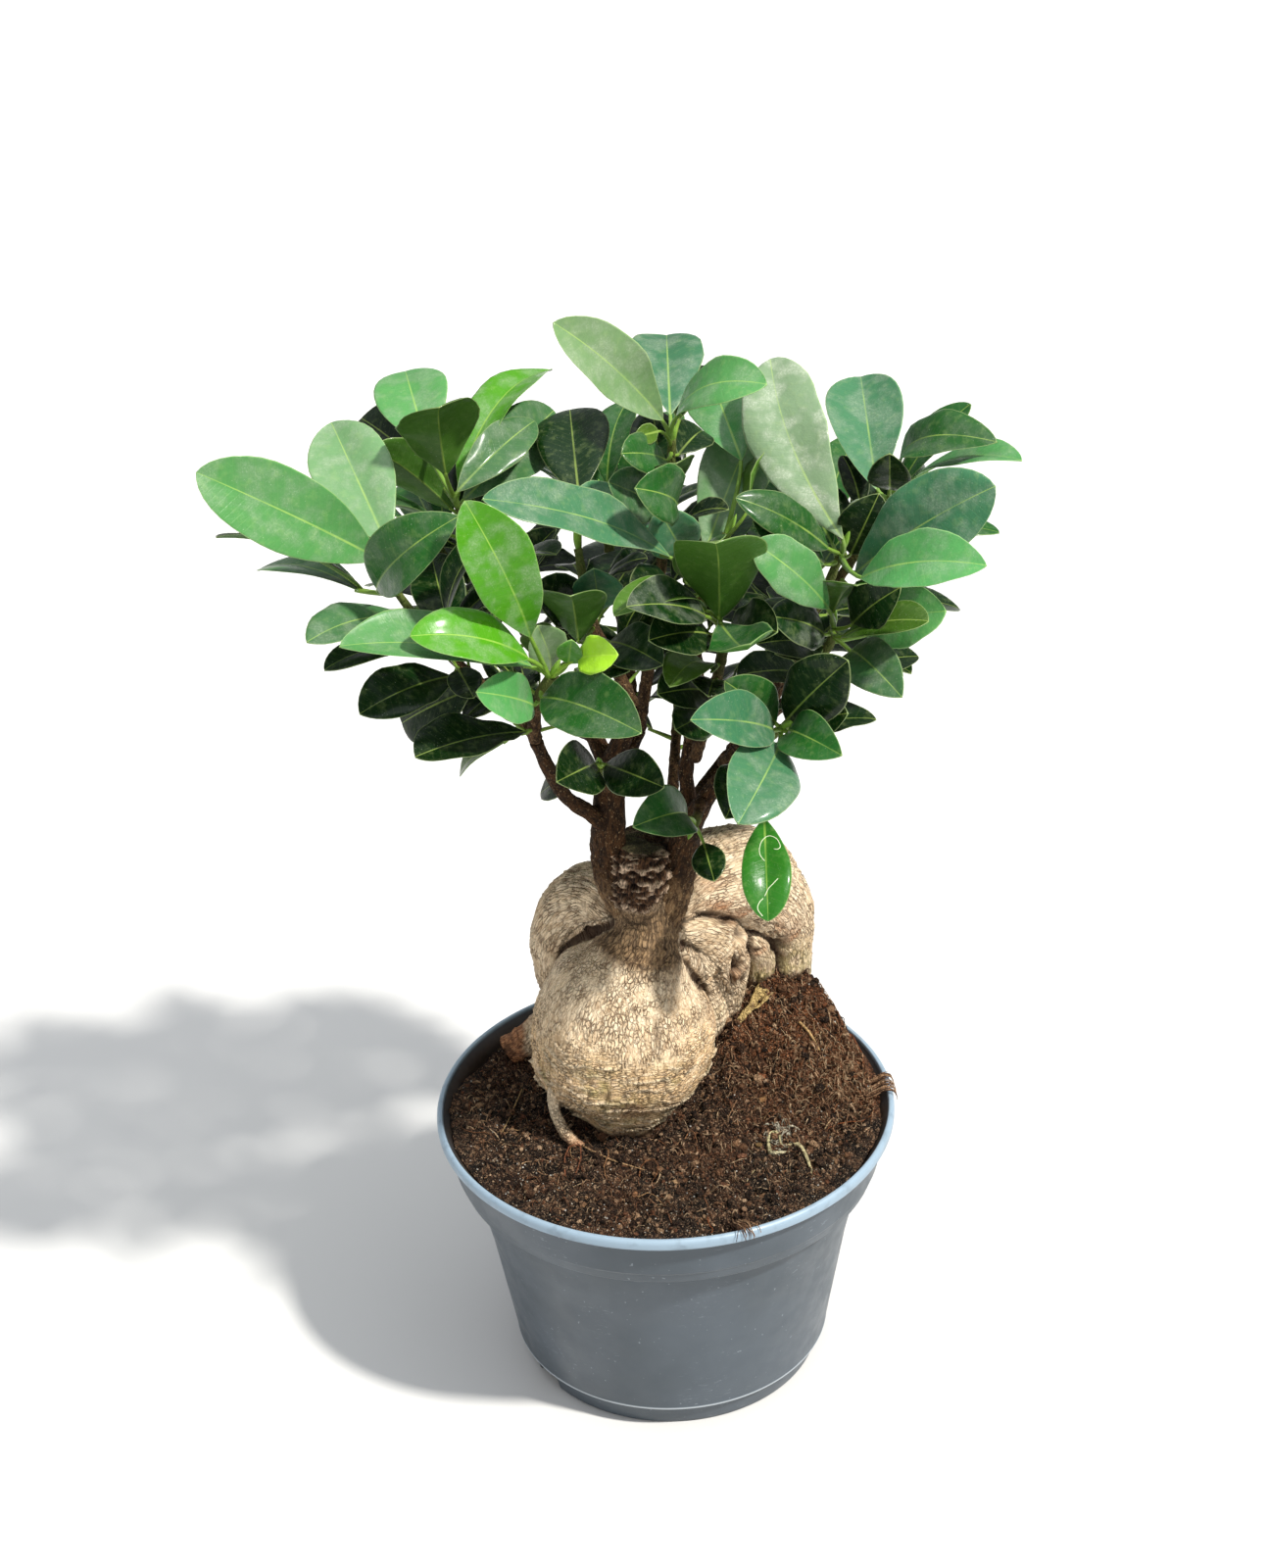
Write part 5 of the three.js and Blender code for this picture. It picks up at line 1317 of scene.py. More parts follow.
FIBRE_TINTS = [
    (50, 35, 27), (80, 57, 43), (112, 81, 60), (142, 105, 78), (170, 131, 98), (198, 160, 124),
    (220, 188, 150), (144, 96, 66),
]
# Every second fibre lies about the mound, at an x and a y drawn about a middle with a spread.
FIBRES = {"count": 3600, "reach": 76, "mound_x": (45, 18), "mound_y": (18, 25)}
LONG_FIBRES = {"count": 10, "reach": 68, "tint": (176, 140, 100)}
# Single roots on the soil, as picture places, radius, tint and how far they arch up
PLACED_ROOTS = [
    ([(533, 1108), (530, 1122), (520, 1140), (512, 1158)], 0.32, (196, 164, 116), 1.0),
    ([(594, 1172), (608, 1180), (625, 1187), (642, 1191), (658, 1194)], 0.36, (204, 164, 120), 1.2),
    (
        [(577, 1200), (576, 1186), (582, 1174), (592, 1175), (592, 1188), (584, 1202)],
        0.28, (156, 98, 68), 1.5,
    ),
    ([(618, 1172), (622, 1184), (616, 1196), (622, 1206)], 0.24, (176, 128, 88), 1.0),
    ([(652, 1200), (656, 1188), (668, 1186), (672, 1198), (664, 1206)], 0.24, (150, 100, 66), 1.5),
    ([(765, 984), (778, 981), (792, 983), (806, 988), (820, 991)], 0.34, (206, 160, 116), 1.5),
    ([(815, 1044), (824, 1054), (832, 1064), (838, 1072)], 0.6, (214, 176, 122), 0.8),
    ([(700, 1180), (698, 1166), (706, 1156), (712, 1168)], 0.24, (170, 120, 84), 1.2),
    ([(845, 1150), (862, 1144), (880, 1146), (896, 1138), (912, 1128)], 0.26, (150, 92, 58), 1.0),
    ([(722, 1242), (724, 1252), (728, 1258), (726, 1264)], 0.26, (150, 84, 46), 0.8),
    ([(868, 1060), (880, 1072), (884, 1088), (878, 1100)], 0.24, (166, 100, 64), 1.4),
    ([(640, 1212), (650, 1224), (664, 1222), (676, 1230)], 0.24, (190, 148, 104), 0.8),
    ([(470, 1150), (482, 1160), (498, 1158), (508, 1168)], 0.2, (132, 90, 60), 0.8),
    ([(841, 1150), (848, 1145), (855, 1137)], 0.22, (214, 180, 136), 1.0),
    ([(762, 1205), (768, 1197), (778, 1188)], 0.24, (220, 200, 150), 0.6),
    ([(752, 1126), (746, 1136), (741, 1146)], 0.2, (168, 128, 96), 0.8),
    (
        [(786, 1177), (784, 1168), (786, 1160), (791, 1157), (796, 1162), (797, 1169), (803, 1173)],
        0.75, (224, 214, 164), 0.5,
    ),
    (
        [(801, 1172), (809, 1171), (815, 1174), (821, 1180), (826, 1187), (829, 1193)],
        0.85, (222, 208, 160), 0.5,
    ),
    ([(785, 1178), (791, 1181), (798, 1179), (806, 1178)], 0.75, (216, 206, 168), 0.4),
    ([(802, 1152), (809, 1153), (816, 1156)], 0.6, (214, 204, 178), 0.4),
]
FIBRE_MAT = {"at": (868, 1098), "count": 650, "spread": (10, 11), "reach": 79}
MOULD = {"at": (798, 1160), "count": 60, "spread": 3.6, "tint": (206, 198, 176)}
DRY_LEAF = {"from": (753, 1046), "to": (782, 1020), "wide": 8.0, "thick": 0.35, "tint": (226, 196, 132)}
# Tufts that hang over the lip, at angles in degrees, and the way of one fibre over it, as radius and height
OVERHANG = {
    "angles": (-71.5, 2, 6.5), "count": 14, "spread": 1.0,
    "way": [(75, 105.2), (79, 107.2), (82.5, 109.2), (85.2, 108.9), (86.4, 107.0), (86.9, 104.6)],
}


def hang_fibre(pile, draw, angle):
    radius, height = np.array(OVERHANG["way"]).T
    angles = angle + np.cumsum(draw.normal(0, 0.006, len(radius)))
    height = height + draw.uniform(-0.3, 0.6)
    path = smooth_curve(np.column_stack([radius * np.cos(angles), radius * np.sin(angles), height]), 20)
    path = path[:draw.integers(11, 21)]
    tint = picked(draw, FIBRE_TINTS[1:6])
    add_tube(pile, path, np.linspace(0.3, 0.12, len(path)), 5, tint=tint, tint_share=0.95, red=0.2)


def make_fibres(material):
    draw = np.random.default_rng(33)
    flat, mound = Pile(), Pile()
    for i in range(FIBRES["count"]):
        if i % 2:
            start = draw.normal(*FIBRES["mound_x"]), draw.normal(*FIBRES["mound_y"])
            if math.hypot(*start) > FIBRES["reach"] or under_wood(*start):
                continue
        else:
            start = soil_place(draw, FIBRES["reach"])
        tint = picked(draw, FIBRE_TINTS) * draw.uniform(0.8, 1.3)
        length = 1.5 + 7 * draw.uniform(0, 1) ** 2
        places = wandering(draw, start, draw.uniform(0, 2 * math.pi), length, 0.35, 4)
        lay_fibre(mound if i % 2 else flat, places, draw.uniform(0.09, 0.26), tint, draw.uniform(0.0, 2.0))
    mat = np.array(soil_seen_at(*FIBRE_MAT["at"]))
    for _ in range(FIBRE_MAT["count"]):
        start = mat + draw.normal(0, 1, 2) * FIBRE_MAT["spread"]
        if math.hypot(*start) > FIBRE_MAT["reach"] or under_wood(*start):
            continue
        tint = picked(draw, FIBRE_TINTS[3:]) * draw.uniform(0.9, 1.4)
        places = wandering(draw, start, draw.uniform(0, 2 * math.pi), draw.uniform(2, 7), 0.35, 4)
        lay_fibre(mound, places, draw.uniform(0.12, 0.26), tint, draw.uniform(0.2, 2.4))
    for _ in range(LONG_FIBRES["count"]):
        start = soil_place(draw, LONG_FIBRES["reach"])
        places = wandering(draw, start, draw.uniform(0, 2 * math.pi), draw.uniform(8, 16), 0.3, 8)
        lay_fibre(flat, places, draw.uniform(0.14, 0.22), linear(*LONG_FIBRES["tint"]), 1.2, 5)
    for places, radius, tint, rise in PLACED_ROOTS:
        lay_fibre(flat, [soil_seen_at(*place) for place in places], radius, linear(*tint), rise, 6, 1.0)
    middle = np.array(soil_seen_at(*MOULD["at"]))
    for _ in range(MOULD["count"]):
        start = middle + draw.normal(0, MOULD["spread"], 2)
        places = wandering(draw, start, draw.uniform(0, 2 * math.pi), draw.uniform(2, 6), 0.7, 6)
        tint = np.array(linear(*MOULD["tint"])) * draw.uniform(0.75, 1.0)
        lay_fibre(flat, places, draw.uniform(0.14, 0.34), tint, draw.uniform(0.0, 0.8), 5, 1.0)
    for degrees in OVERHANG["angles"]:
        for _ in range(OVERHANG["count"]):
            hang_fibre(mound, draw, math.radians(degrees + draw.normal(0, OVERHANG["spread"])))
    flat.build("soil_fibres", material, "soil")
    mound.build("mound_fibres", material, "soil")


def make_dry_leaf(material):
    """A curled scrap of dry leaf on the foot of the mound, narrow at one end and torn at the other."""
    start, end = np.array(soil_seen_at(*DRY_LEAF["from"])), np.array(soil_seen_at(*DRY_LEAF["to"]))
    rows, columns = 16, 11
    share, across = grid_places(np.linspace(0, 1, rows), np.linspace(-1, 1, columns))
    heading = unit(end - start)
    side = np.array([-heading[1], heading[0]])
    wide = DRY_LEAF["wide"] * (0.12 + 0.88 * share**0.8) * (1 + 0.12 * np.sin(11 * share))
    reach = share * (1 + 0.12 * np.sin(5 * across + 1) * share)
    flat = start + np.outer(reach, end - start) + np.outer(across * wide / 2, side)
    ground = soil_top(*flat.T).reshape(rows, columns).max(axis=1)
    ground = smooth_curve(np.column_stack([ground, ground * 0, ground * 0]), rows)[:, 0]
    height = ground.repeat(columns) + 0.6 + 1.6 * across**2 * share + 0.8 * np.sin(6 * share + 2.5 * across)
    top = np.column_stack([flat, height])
    pile = Pile()
    tint = linear(*DRY_LEAF["tint"])
    vertices = np.vstack([top, top - (0, 0, DRY_LEAF["thick"])])
    pile.add(vertices, sheet_faces(rows, columns), tint=tint, tint_share=0.92, red=0.0)
    pile.build("dry_leaf", material, "soil")


# The tuber's foot, narrower than in the CAD: its axis, its front, by what share it is pulled in, and how far
# the root at its left stands back
FOOT = {"x": -14, "front": -17.5, "narrower": 0.4, "left_back": 18}
SCAR = {"x": -5, "y": 2, "radius": 8.2}
# The corky wood under the cut, which stands proud of the neck
CORK = [(652, 930, 0, 6), (651, 912, -1, 9.2), (653, 893, -1.5, 10.4), (656, 872, -1, 10.2), (658, 859, 0, 9)]
CUT_LEVEL = 218
ROOTSTOCK_SHARE = 0.55  # of its skin's triangles, to stay under the number that one piece may have
LIMB_GROUPS = [
    ["tuber", "left_buttress", "cork"], ["left_arch", "left_fold", "left_stub"],
    ["right_elbow", "inner_leg", "right_fillet"], ["right_arch"], ["right_knob"],
]
# Marks on the wood, as picture x, picture y, half width, half height and how deep or strong they are
# The hollows are dented, and their darkness is painted shade.
HOLLOWS = [
    (754, 990, 2.2, 6.0, 5.0), (760, 1004, 1.6, 4.0, 2.4), (748, 1002, 1.4, 3.5, 1.6),
    (722, 934, 5.0, 1.6, 1.6),
    (740, 940, 4.5, 1.6, 2.0), (757, 952, 3.2, 2.6, 2.0), (766, 968, 1.8, 4.5, 2.4),
    (794, 966, 3.2, 4.0, 2.6), (776, 972, 4.5, 1.6, 1.6), (672, 1057, 1.8, 8.0, 1.3),
]
RUSTY = [
    (667, 914, 4.2, 3.6, 0.95), (812, 966, 5.0, 10.0, 0.75), (764, 935, 10.0, 4.0, 0.7),
    (738, 925, 8.0, 3.0, 0.7),
    (786, 976, 8.0, 4.0, 0.8), (756, 1000, 4.0, 6.0, 0.6), (728, 902, 6.0, 5.0, 0.4),
    (650, 1140, 10.0, 6.0, 0.4), (742, 1030, 6.0, 8.0, 0.8), (797, 950, 3.0, 8.0, 0.5),
]
# Where the tubers have grown together without a crease
HEALED = [(706, 982, 9, 8, 0.9), (716, 1004, 5, 5, 0.6)]
MOSSY = [(606, 1108, 12, 8, 0.6), (690, 1105, 10, 9, 0.35), (553, 1100, 4, 10, 0.5), (640, 1130, 14, 7, 0.5)]
# The end of the stub, as x beyond which the wood is broken
STUB_BREAK = {"start": -50, "full": -55}


def fissures(points, size, seed, sharp=5):
    """Narrow furrows where noise crosses zero, 1 at their middle."""
    return (1 - np.abs(rough(points, size, 2, seed))).clip(0, 1) ** sharp


def make_rootstock(material):
    limbs = {name: path for name, path in ROOTSTOCK.items() if name != "front_root"}
    limbs["cork"] = seen_path(CORK)
    paths = list(limbs.values())
    skin = joined_limbs("rootstock", paths, 44, 2.2, 0.62, 8)
    points, normals = mesh_points(skin), mesh_normals(skin)
    grain = grain_of(points, paths)
    group, apart = nearest_others(points, limbs, LIMB_GROUPS)
    x, y, z = points.T
    on_tuber = (group == 0) * smoothstep(178, 166, z)
    sunk = smoothstep(0.08, 0.45, sunken(skin, points, normals, 30))
    # Cleft and shade mark the crevices between the limbs; they dent the skin there and darken it as painted
    # shade.
    cleft = smoothstep(1.5, 0.1, apart + 0.5 * noise(points, 4, 4)) * sunk
    shade = smoothstep(4.5, 0.5, apart + 1.2 * noise(points, 5, 4)) * (0.25 + 0.75 * sunk)
    healed = 1 - painted(points, normals, HEALED)
    cleft, shade = cleft * healed, shade * healed
    neck = smoothstep(165, 173, z + 3 * noise(points, 8, 5)) * smoothstep(22, 18, np.hypot(x + 5, y - 7))
    neck *= (group == 0) * smoothstep(0.5, 2.5, apart + 0.8 * noise(points, 5, 26))
    cut = from_scar(points) < 12
    cork = smoothstep(3.0, 0.8, limb_gaps(points, [limbs["cork"]])[:, 0] + 1.2 * noise(points, 5, 6))
    cork = cork * smoothstep(194, 199, z + 3 * noise(points, 6, 7))
    lumps = 1.0 * noise(points, 17, 1) + 0.5 * noise(points, 6.5, 2)
    patches = 0.35 + 0.65 * smoothstep(-0.35, 0.25, noise(points, 11, 7))
    cracks = fissures(grain, (2.0, 2.0, 9), 3, 8) * patches
    scales = fissures(grain, (1.6, 1.6, 3.2), 23, 8) * patches
    rings = np.sin(2 * math.pi * (grain[:, 2] / 2.8 + 0.8 * noise(points, 6, 24))) ** 3
    rings *= (group != 0) * smoothstep(-0.3, 0.3, noise(points, 14, 25))
    # The tuber's lower part, with flaky bark, which the material also lightens as painted light for the shade
    # it lies in.
    low = on_tuber * smoothstep(158, 134, z + 8 * noise(points, 12, 27))
    level = z / 4.6 + 1.1 * noise(points, (13, 13, 9), 8)
    ledge = level - np.floor(level)
    broken = smoothstep(-0.25, 0.2, noise(points, (6, 6, 3.5), 9)) * low * smoothstep(102, 108, z)
    lips = ledge**4 * broken
    # A painted shadow under each lip of the flaky bark, which also dents the skin a little.
    shadow_under_lip = smoothstep(0.16, 0.0, ledge) * broken
    pimples = smoothstep(0.5, 0.8, noise(points, (1.5, 1.5, 1.1), 10)) * (1 - cork)
    knots = smoothstep(0.3, 0.8, noise(points, (3.0, 3.0, 2.0), 12)) * neck
    wrinkles = np.sin(2 * math.pi * (z / 3.4 + 1.3 * noise(points, 9, 28))) * neck
    corky = rough(points, (3.2, 3.2, 1.3), 3, 14) * cork
    depth = lumps * (1 - 0.6 * cork) - 0.6 * cracks - 0.3 * scales + 1.3 * lips + 0.35 * pimples + 0.8 * knots
    depth += 1.8 * corky + 0.3 * rings + 0.3 * wrinkles - 1.4 * cleft - 0.5 * shade - 0.4 * shadow_under_lip
    # Painted shade in the hollows, darker in the deeper ones.
    hollow_shade = np.zeros(len(points))
    for px, py, wide, tall, deep in HOLLOWS:
        mark = spot(points, normals, px, py, wide, tall)
        depth -= deep * mark
        hollow_shade = np.maximum(hollow_shade, mark * min(1, 0.4 + deep / 5))
    stub = smoothstep(STUB_BREAK["start"], STUB_BREAK["full"], x + 2 * noise(points, 4, 31))
    stub = stub * (group == 1) * (z < 124)
    depth += stub * (0.9 * rough(points, 3.4, 2, 32) - 0.4)
    rust = np.maximum(painted(points, normals, RUSTY), 0.9 * stub)
    moss = painted(points, normals, MOSSY)
    foot = on_tuber * smoothstep(130, 102, z)
    left = smoothstep(-26, -40, x)
    inward = (x - FOOT["x"]) * (1 - 0.7 * left)
    forward = (y - FOOT["front"]) * (1 - left) - FOOT["left_back"] * left
    pulled = np.column_stack([inward, forward, 0 * z]) * (FOOT["narrower"] * foot)[:, None]
    points = points + normals * depth[:, None] - pulled
    top = cut & (points[:, 2] > CUT_LEVEL)
    points[top, 2] = CUT_LEVEL + 0.15 * (points[top, 2] - CUT_LEVEL)
    move_points(skin, points)
    z = points[:, 2]
    above = z - soil_height(points[:, 0], points[:, 1])
    # Dark paint: the cracks, scales, broken stub, cork furrows and ring troughs are the wood's own; the
    # cleft, shade, the shadow under the lips and the hollows are painted shade.
    dark = [
        0.55 * smoothstep(0.35, 0.9, cracks),
        0.4 * smoothstep(0.4, 0.9, scales),
        0.95 * cleft,
        0.4 * shade,
        0.7 * stub * smoothstep(0.1, 0.6, -rough(points, 3.4, 2, 32)),
        0.85 * smoothstep(0.02, 0.6, -corky),
        0.6 * shadow_under_lip,
        0.4 * smoothstep(0.3, 1.0, -rings),
        hollow_shade,
    ]
    # Raised: pale pimples of the bark, and a painted highlight on the tops of the lips and the cork's flakes.
    raised = 0.6 * pimples + 0.9 * smoothstep(0.1, 0.6, lips) + 0.9 * smoothstep(0.12, 0.6, corky)
    values = {
        "crease": np.clip(np.maximum.reduce(dark), 0, 1),
        "raised": np.clip(raised, 0, 1),
        "moss": np.clip(smoothstep(24, 4, above) * (0.25 + 0.35 * noise(points, 11, 15)) + moss, 0, 1),
        "earth": smoothstep(4, 0, above + 1.5 * noise(points, 4, 16)) * 0.85,
        "neck": neck * (1 - cork) * 0.95,
        "cork": cork,
        "scar": smoothstep(SCAR["radius"] + 0.4, SCAR["radius"], from_scar(points)) * top,
        "rust": rust,
        "low": low,
        "grain": grain * (MM, MM, MM * 0.25),
    }
    set_values(skin, values)
    finish_piece("rootstock_skin", thinned(skin, ROOTSTOCK_SHARE), material, ["rootstock"])


def from_scar(points):
    return np.hypot(points[:, 0] - SCAR["x"], points[:, 1] - SCAR["y"])


def painted(points, normals, marks):
    """How much each point belongs to any of the marks, each by its own strength."""
    shade = np.zeros(len(points))
    for px, py, wide, tall, strength in marks:
        shade = np.maximum(shade, strength * spot(points, normals, px, py, wide, tall))
    return shade


def make_front_root(material):
    """The thin root that runs down the front of the tuber, scaly above and red at its tip."""
    paths = [ROOTSTOCK["front_root"]]
    skin = joined_limbs("front_root", paths, 24, 1.0, 0.4, 3)
    points, normals = mesh_points(skin), mesh_normals(skin)
    grain = grain_of(points, paths)
    rings = fissures(grain, (3, 3, 1.3), 61, 7)
    depth = 0.35 * noise(points, 3.5, 62) - 0.25 * rings + 0.15 * noise(points, 1.2, 63)
    points = points + normals * depth[:, None]
    move_points(skin, points)
    z = points[:, 2]
    values = {
        "crease": 0.6 * smoothstep(0.5, 0.95, rings), "raised": 0.6 * smoothstep(109, 116, z),
        "earth": smoothstep(103, 99, z) * 0.5, "grain": grain * MM,
        "rust": smoothstep(113, 106, z + 1.5 * noise(points, 4, 64)) * 0.75,
    }
    values.update((name, np.zeros(len(points))) for name in ("moss", "neck", "cork", "scar", "low"))
    finish_piece("front_root_skin", skin, material, ["rootstock"], values)


# The grafts

def make_graft(name, graft, material, seed):
    paths = [seen_path(path) for path in graft.values()]
    skin = joined_limbs(name, paths, 22, 1.2, 0.6, 4)
    points, normals = mesh_points(skin), mesh_normals(skin)
    grain = grain_of(points, paths)
    z = points[:, 2]
    thick = smoothstep(232, 208, z)
    lumps = 0.45 * noise(points, 6, seed) + 0.25 * noise(points, 2.6, seed + 1)
    cracks = fissures(grain, (1.6, 1.6, 6), seed + 2, 8)
    corky = rough(points, (3.0, 3.0, 1.8), 2, seed + 3) * thick
    crevice = smoothstep(0.1, 0.6, sunken(skin, points, normals, 40))
    depth = lumps * (0.6 + 0.4 * thick) - 0.3 * cracks + 0.7 * corky - 0.3 * crevice
    move_points(skin, points + normals * depth[:, None])
    # The crease value holds the bark's own cracks and cork furrows, and in the crevices painted shade.
    crease = 0.5 * smoothstep(0.4, 0.95, cracks) + 0.6 * smoothstep(0.2, 0.9, -corky) + 0.6 * crevice
    values = {
        "crease": np.clip(crease, 0, 1),
        "green": np.zeros(len(points)),
        "aged": smoothstep(212, 196, z + 4 * noise(points, 6, seed + 4)),
        "grain": grain * (MM, MM, MM * 0.35),
    }
    finish_piece(name + "_bark", skin, material, [name], values)


# Leaves

TONES = {
    "dark": (8, 34, 5), "mid": (30, 80, 28), "light": (76, 136, 74), "pale": (104, 138, 92),
    "new": (66, 134, 18), "bud": (150, 204, 48), "under": (26, 66, 4), "grey": (56, 96, 56),
    "blue": (60, 110, 76), "olive": (64, 96, 24), "gloss": (12, 44, 12), "pink": (116, 138, 108),
    # The pink tone just above and the first tone below are pale greens that carry the most painted glint, a
    # painted sheen; the last tone, the darkest, stands partly for the shade deep inside the crown.
    "pale_sheen": (124, 152, 116), "scribble": (42, 106, 28), "inner": (5, 26, 3),
}
PAINTED_GLINT = {
    "new": 0.35, "pink": 1.0, "pale_sheen": 0.8, "gloss": 0.3, "pale": 0.4, "grey": 0.3, "light": 0.3, "mid": 0.15,
    "blue": 0.35,
}  # how much painted glint each tone has: pale mottles that stand for glossy highlights
FOLD = 0.26
ROWS = 20
COLUMNS = np.array([
    -1, -0.94, -0.83, -0.65, -0.45, -0.25, -0.1, -0.04, 0, 0.04, 0.1, 0.25, 0.45, 0.65, 0.83, 0.94, 1,
])
LAST_ROOT = 0.88
BLADE_THICKNESS = 0.5
SMALL_BLADE = 32  # a blade shorter than this has fewer rows and columns
SMALL_ROWS = 12
VEINS_APART = 2.7
# What a stalk, a bud or a track holds in place of a blade's veins, rib and margin
NO_VEINS = {"under": 0.0, "glint": 0.0, "margin": 9.0, "rib": 9.0, "vein": 0.5}


class Leaf:
    """Where one blade lies: its base and tip, its upper side's normal and its stalk's root on the twig."""

    def __init__(self, base, tip, normal, root, wide, arch, bend, tone):
        self.base, self.tip, self.root = base, tip, root
        self.wide, self.arch, self.bend, self.tone = wide, arch, bend, tone
        self.axis = tip - base
        self.long = np.linalg.norm(self.axis)
        self.along = self.axis / self.long
        self.normal = unit(normal - self.along * normal.dot(self.along))
        self.side = np.cross(self.normal, self.along)


def tip_at(base, place, long, far):
    """The point on the sight line to a picture place that is as far from the base as the leaf is long."""
    line = unit(sight_line(*place))
    to_eye = EYE - base
    along = to_eye.dot(line)
    room = along * along - (to_eye.dot(to_eye) - long * long)
    reach = math.sqrt(room) if room > 0 else 0.0
    return EYE + line * ((reach if far else -reach) - along)


def nearest_on_twig(twig, point):
    """The point of the twig that is nearest to a point, short of its end."""
    places = []
    for start, end in zip(twig, twig[1:]):
        run = end - start
        places.append(start + run * min(max((point - start).dot(run) / run.dot(run), 0), LAST_ROOT))
    return min(places, key=lambda place: np.linalg.norm(place - point))


def measured_leaf(row, twig):
    base = seen_at(*row.start)
    tip = tip_at(base, row.tip, row.long, row.far)
    along = unit(tip - base)
    to_eye = EYE - (base + tip) / 2
    facing = unit(to_eye - along * to_eye.dot(along))
    turn = math.radians(row.turn) * (-1 if along[0] > 0 else 1)
    normal = facing * math.cos(turn) + np.cross(along, facing) * math.sin(turn)
    return Leaf(base, tip, normal, nearest_on_twig(twig, base), row.wide, row.arch, row.bend, row.tone)


class Draws:
    """The repeatable random numbers of the leaves that grow by rule."""

    def __init__(self, seed):
        self.state = seed

    def between(self, low, high):
        self.state = self.state * 48271 % 2147483647
        return low + (high - low) * self.state / 2147483647

    def about(self, spread):
        return self.between(-spread, spread)


SPIRAL = {
    "angle": 137.5, "first": 0.35, "low_tilt": 80, "high_tilt": 38, "rise": 0.6, "flatten": 0.6,
    "shorten": 0.15, "bearing": 12, "tilt": 10, "length": 0.12, "stalk": (7, 11), "width": (0.44, 0.52),
    "arch": (0.06, 0.16),
}


def along_twig(twig, share):
    lengths = [np.linalg.norm(b - a) for a, b in zip(twig, twig[1:])]
    left = share * sum(lengths)
    for i, length in enumerate(lengths):
        if left <= length or i == len(lengths) - 1:
            run = twig[i + 1] - twig[i]
            return twig[i] + run * min(1, left / length), run / length
        left -= length


def grown_leaf(
    point, heading, bearing, tilt, stalk, long, wide, arch, tone, rising=None, flatten=1.0, rear=0.0,
):
    """A leaf that leaves the twig at a point with a heading, turned by a bearing and tilted outward."""
    outward = np.array([math.cos(bearing), math.sin(bearing), 0.0])
    outward = unit(outward - heading * flatten * outward.dot(heading))
    along = unit((heading if rising is None else rising) * math.cos(tilt) + outward * math.sin(tilt))
    base = point + along * stalk
    normal = np.array([0, rear, 0.8]) + 0.5 * heading - 0.3 * outward
    return Leaf(base, base + along * long, normal, point, wide, arch, 0.0, tone)


def spiral_leaf(twig, fill, i, draws):
    share = (i + 0.5) / fill["count"]
    point, heading = along_twig(twig, SPIRAL["first"] + (1 - SPIRAL["first"]) * share)
    spiral = (i * SPIRAL["angle"] % 360) / 360 - 0.5
    bearing = fill["toward"] + spiral * 2 * fill["spread"] + draws.about(SPIRAL["bearing"])
    drop = (SPIRAL["low_tilt"] - SPIRAL["high_tilt"]) * share
    tilt = SPIRAL["low_tilt"] - drop + draws.about(SPIRAL["tilt"])
    length = fill["long"] * (1 - SPIRAL["shorten"] * share) * (1 + draws.about(SPIRAL["length"]))
    stalk = draws.between(*SPIRAL["stalk"])
    wide = length * draws.between(*SPIRAL["width"])
    return grown_leaf(
        point, heading, math.radians(bearing), math.radians(tilt), stalk, length, wide,
        draws.between(*SPIRAL["arch"]), "dark" if share < 0.6 else "mid",
        unit(heading + np.array([0, 0, SPIRAL["rise"]])), SPIRAL["flatten"],
    )


def half_width(share, foot=1.0, end=0.52):
    """Half the blade's width, 1 at its widest, from its narrow foot to its blunt end."""
    widest = foot / (foot + end)
    share = np.clip(share, 0, 1)
    return share**foot * (1 - share) ** end / (widest**foot * (1 - widest) ** end)


def blade_points(leaf, share, across, shape):
    """Points of the blade's upper face. Share runs from base to tip, across from -1 to 1."""
    hump = 4 * share * (1 - share) * leaf.long
    flat = np.abs(across)
    side = (across > 0).astype(int)
    swing = 2 * math.pi * (shape["waves"] * share + shape["phase"] + 0.37 * side)
    reach = half_width(share, shape["foot"], shape["end"]) * leaf.wide / 2
    reach = reach * (1 + shape["ragged"] * np.sin(1.7 * swing) * flat)
    valley = np.sqrt(across**2 + 0.006) - 0.0775
    lift = leaf.arch * hump + valley * reach * FOLD * shape["fold"][side]
    lift = lift + np.sin(swing) * shape["wave"] * leaf.wide * flat**2 * np.sin(math.pi * share)
    lift = lift - shape["curl"][side] * reach * flat**4
    lift = lift - shape["droop"] * leaf.long * np.clip((share - 0.6) / 0.4, 0, 1) ** 2
    lift = lift + shape["twist"] * (share - 0.5) * across * reach
    sideways = leaf.bend * hump + across * reach
    return (
        leaf.base
        + share[:, None] * leaf.axis
        + lift[:, None] * leaf.normal
        + sideways[:, None] * leaf.side
    )


def blade_shape(draw):
    """How one blade departs from the plain form."""
    return {
        "foot": draw.uniform(0.82, 1.06),
        "end": draw.uniform(0.54, 0.72),
        "ragged": draw.uniform(0.0, 0.035),
        "waves": draw.uniform(0.9, 2.4),
        "phase": draw.uniform(0, 1),
        "wave": draw.uniform(0.01, 0.06),
        "fold": draw.uniform(0.6, 1.4, 2),
        "curl": draw.uniform(-0.12, 0.26, 2),
        "droop": draw.uniform(-0.02, 0.05),
        "twist": draw.uniform(-0.3, 0.3),
    }


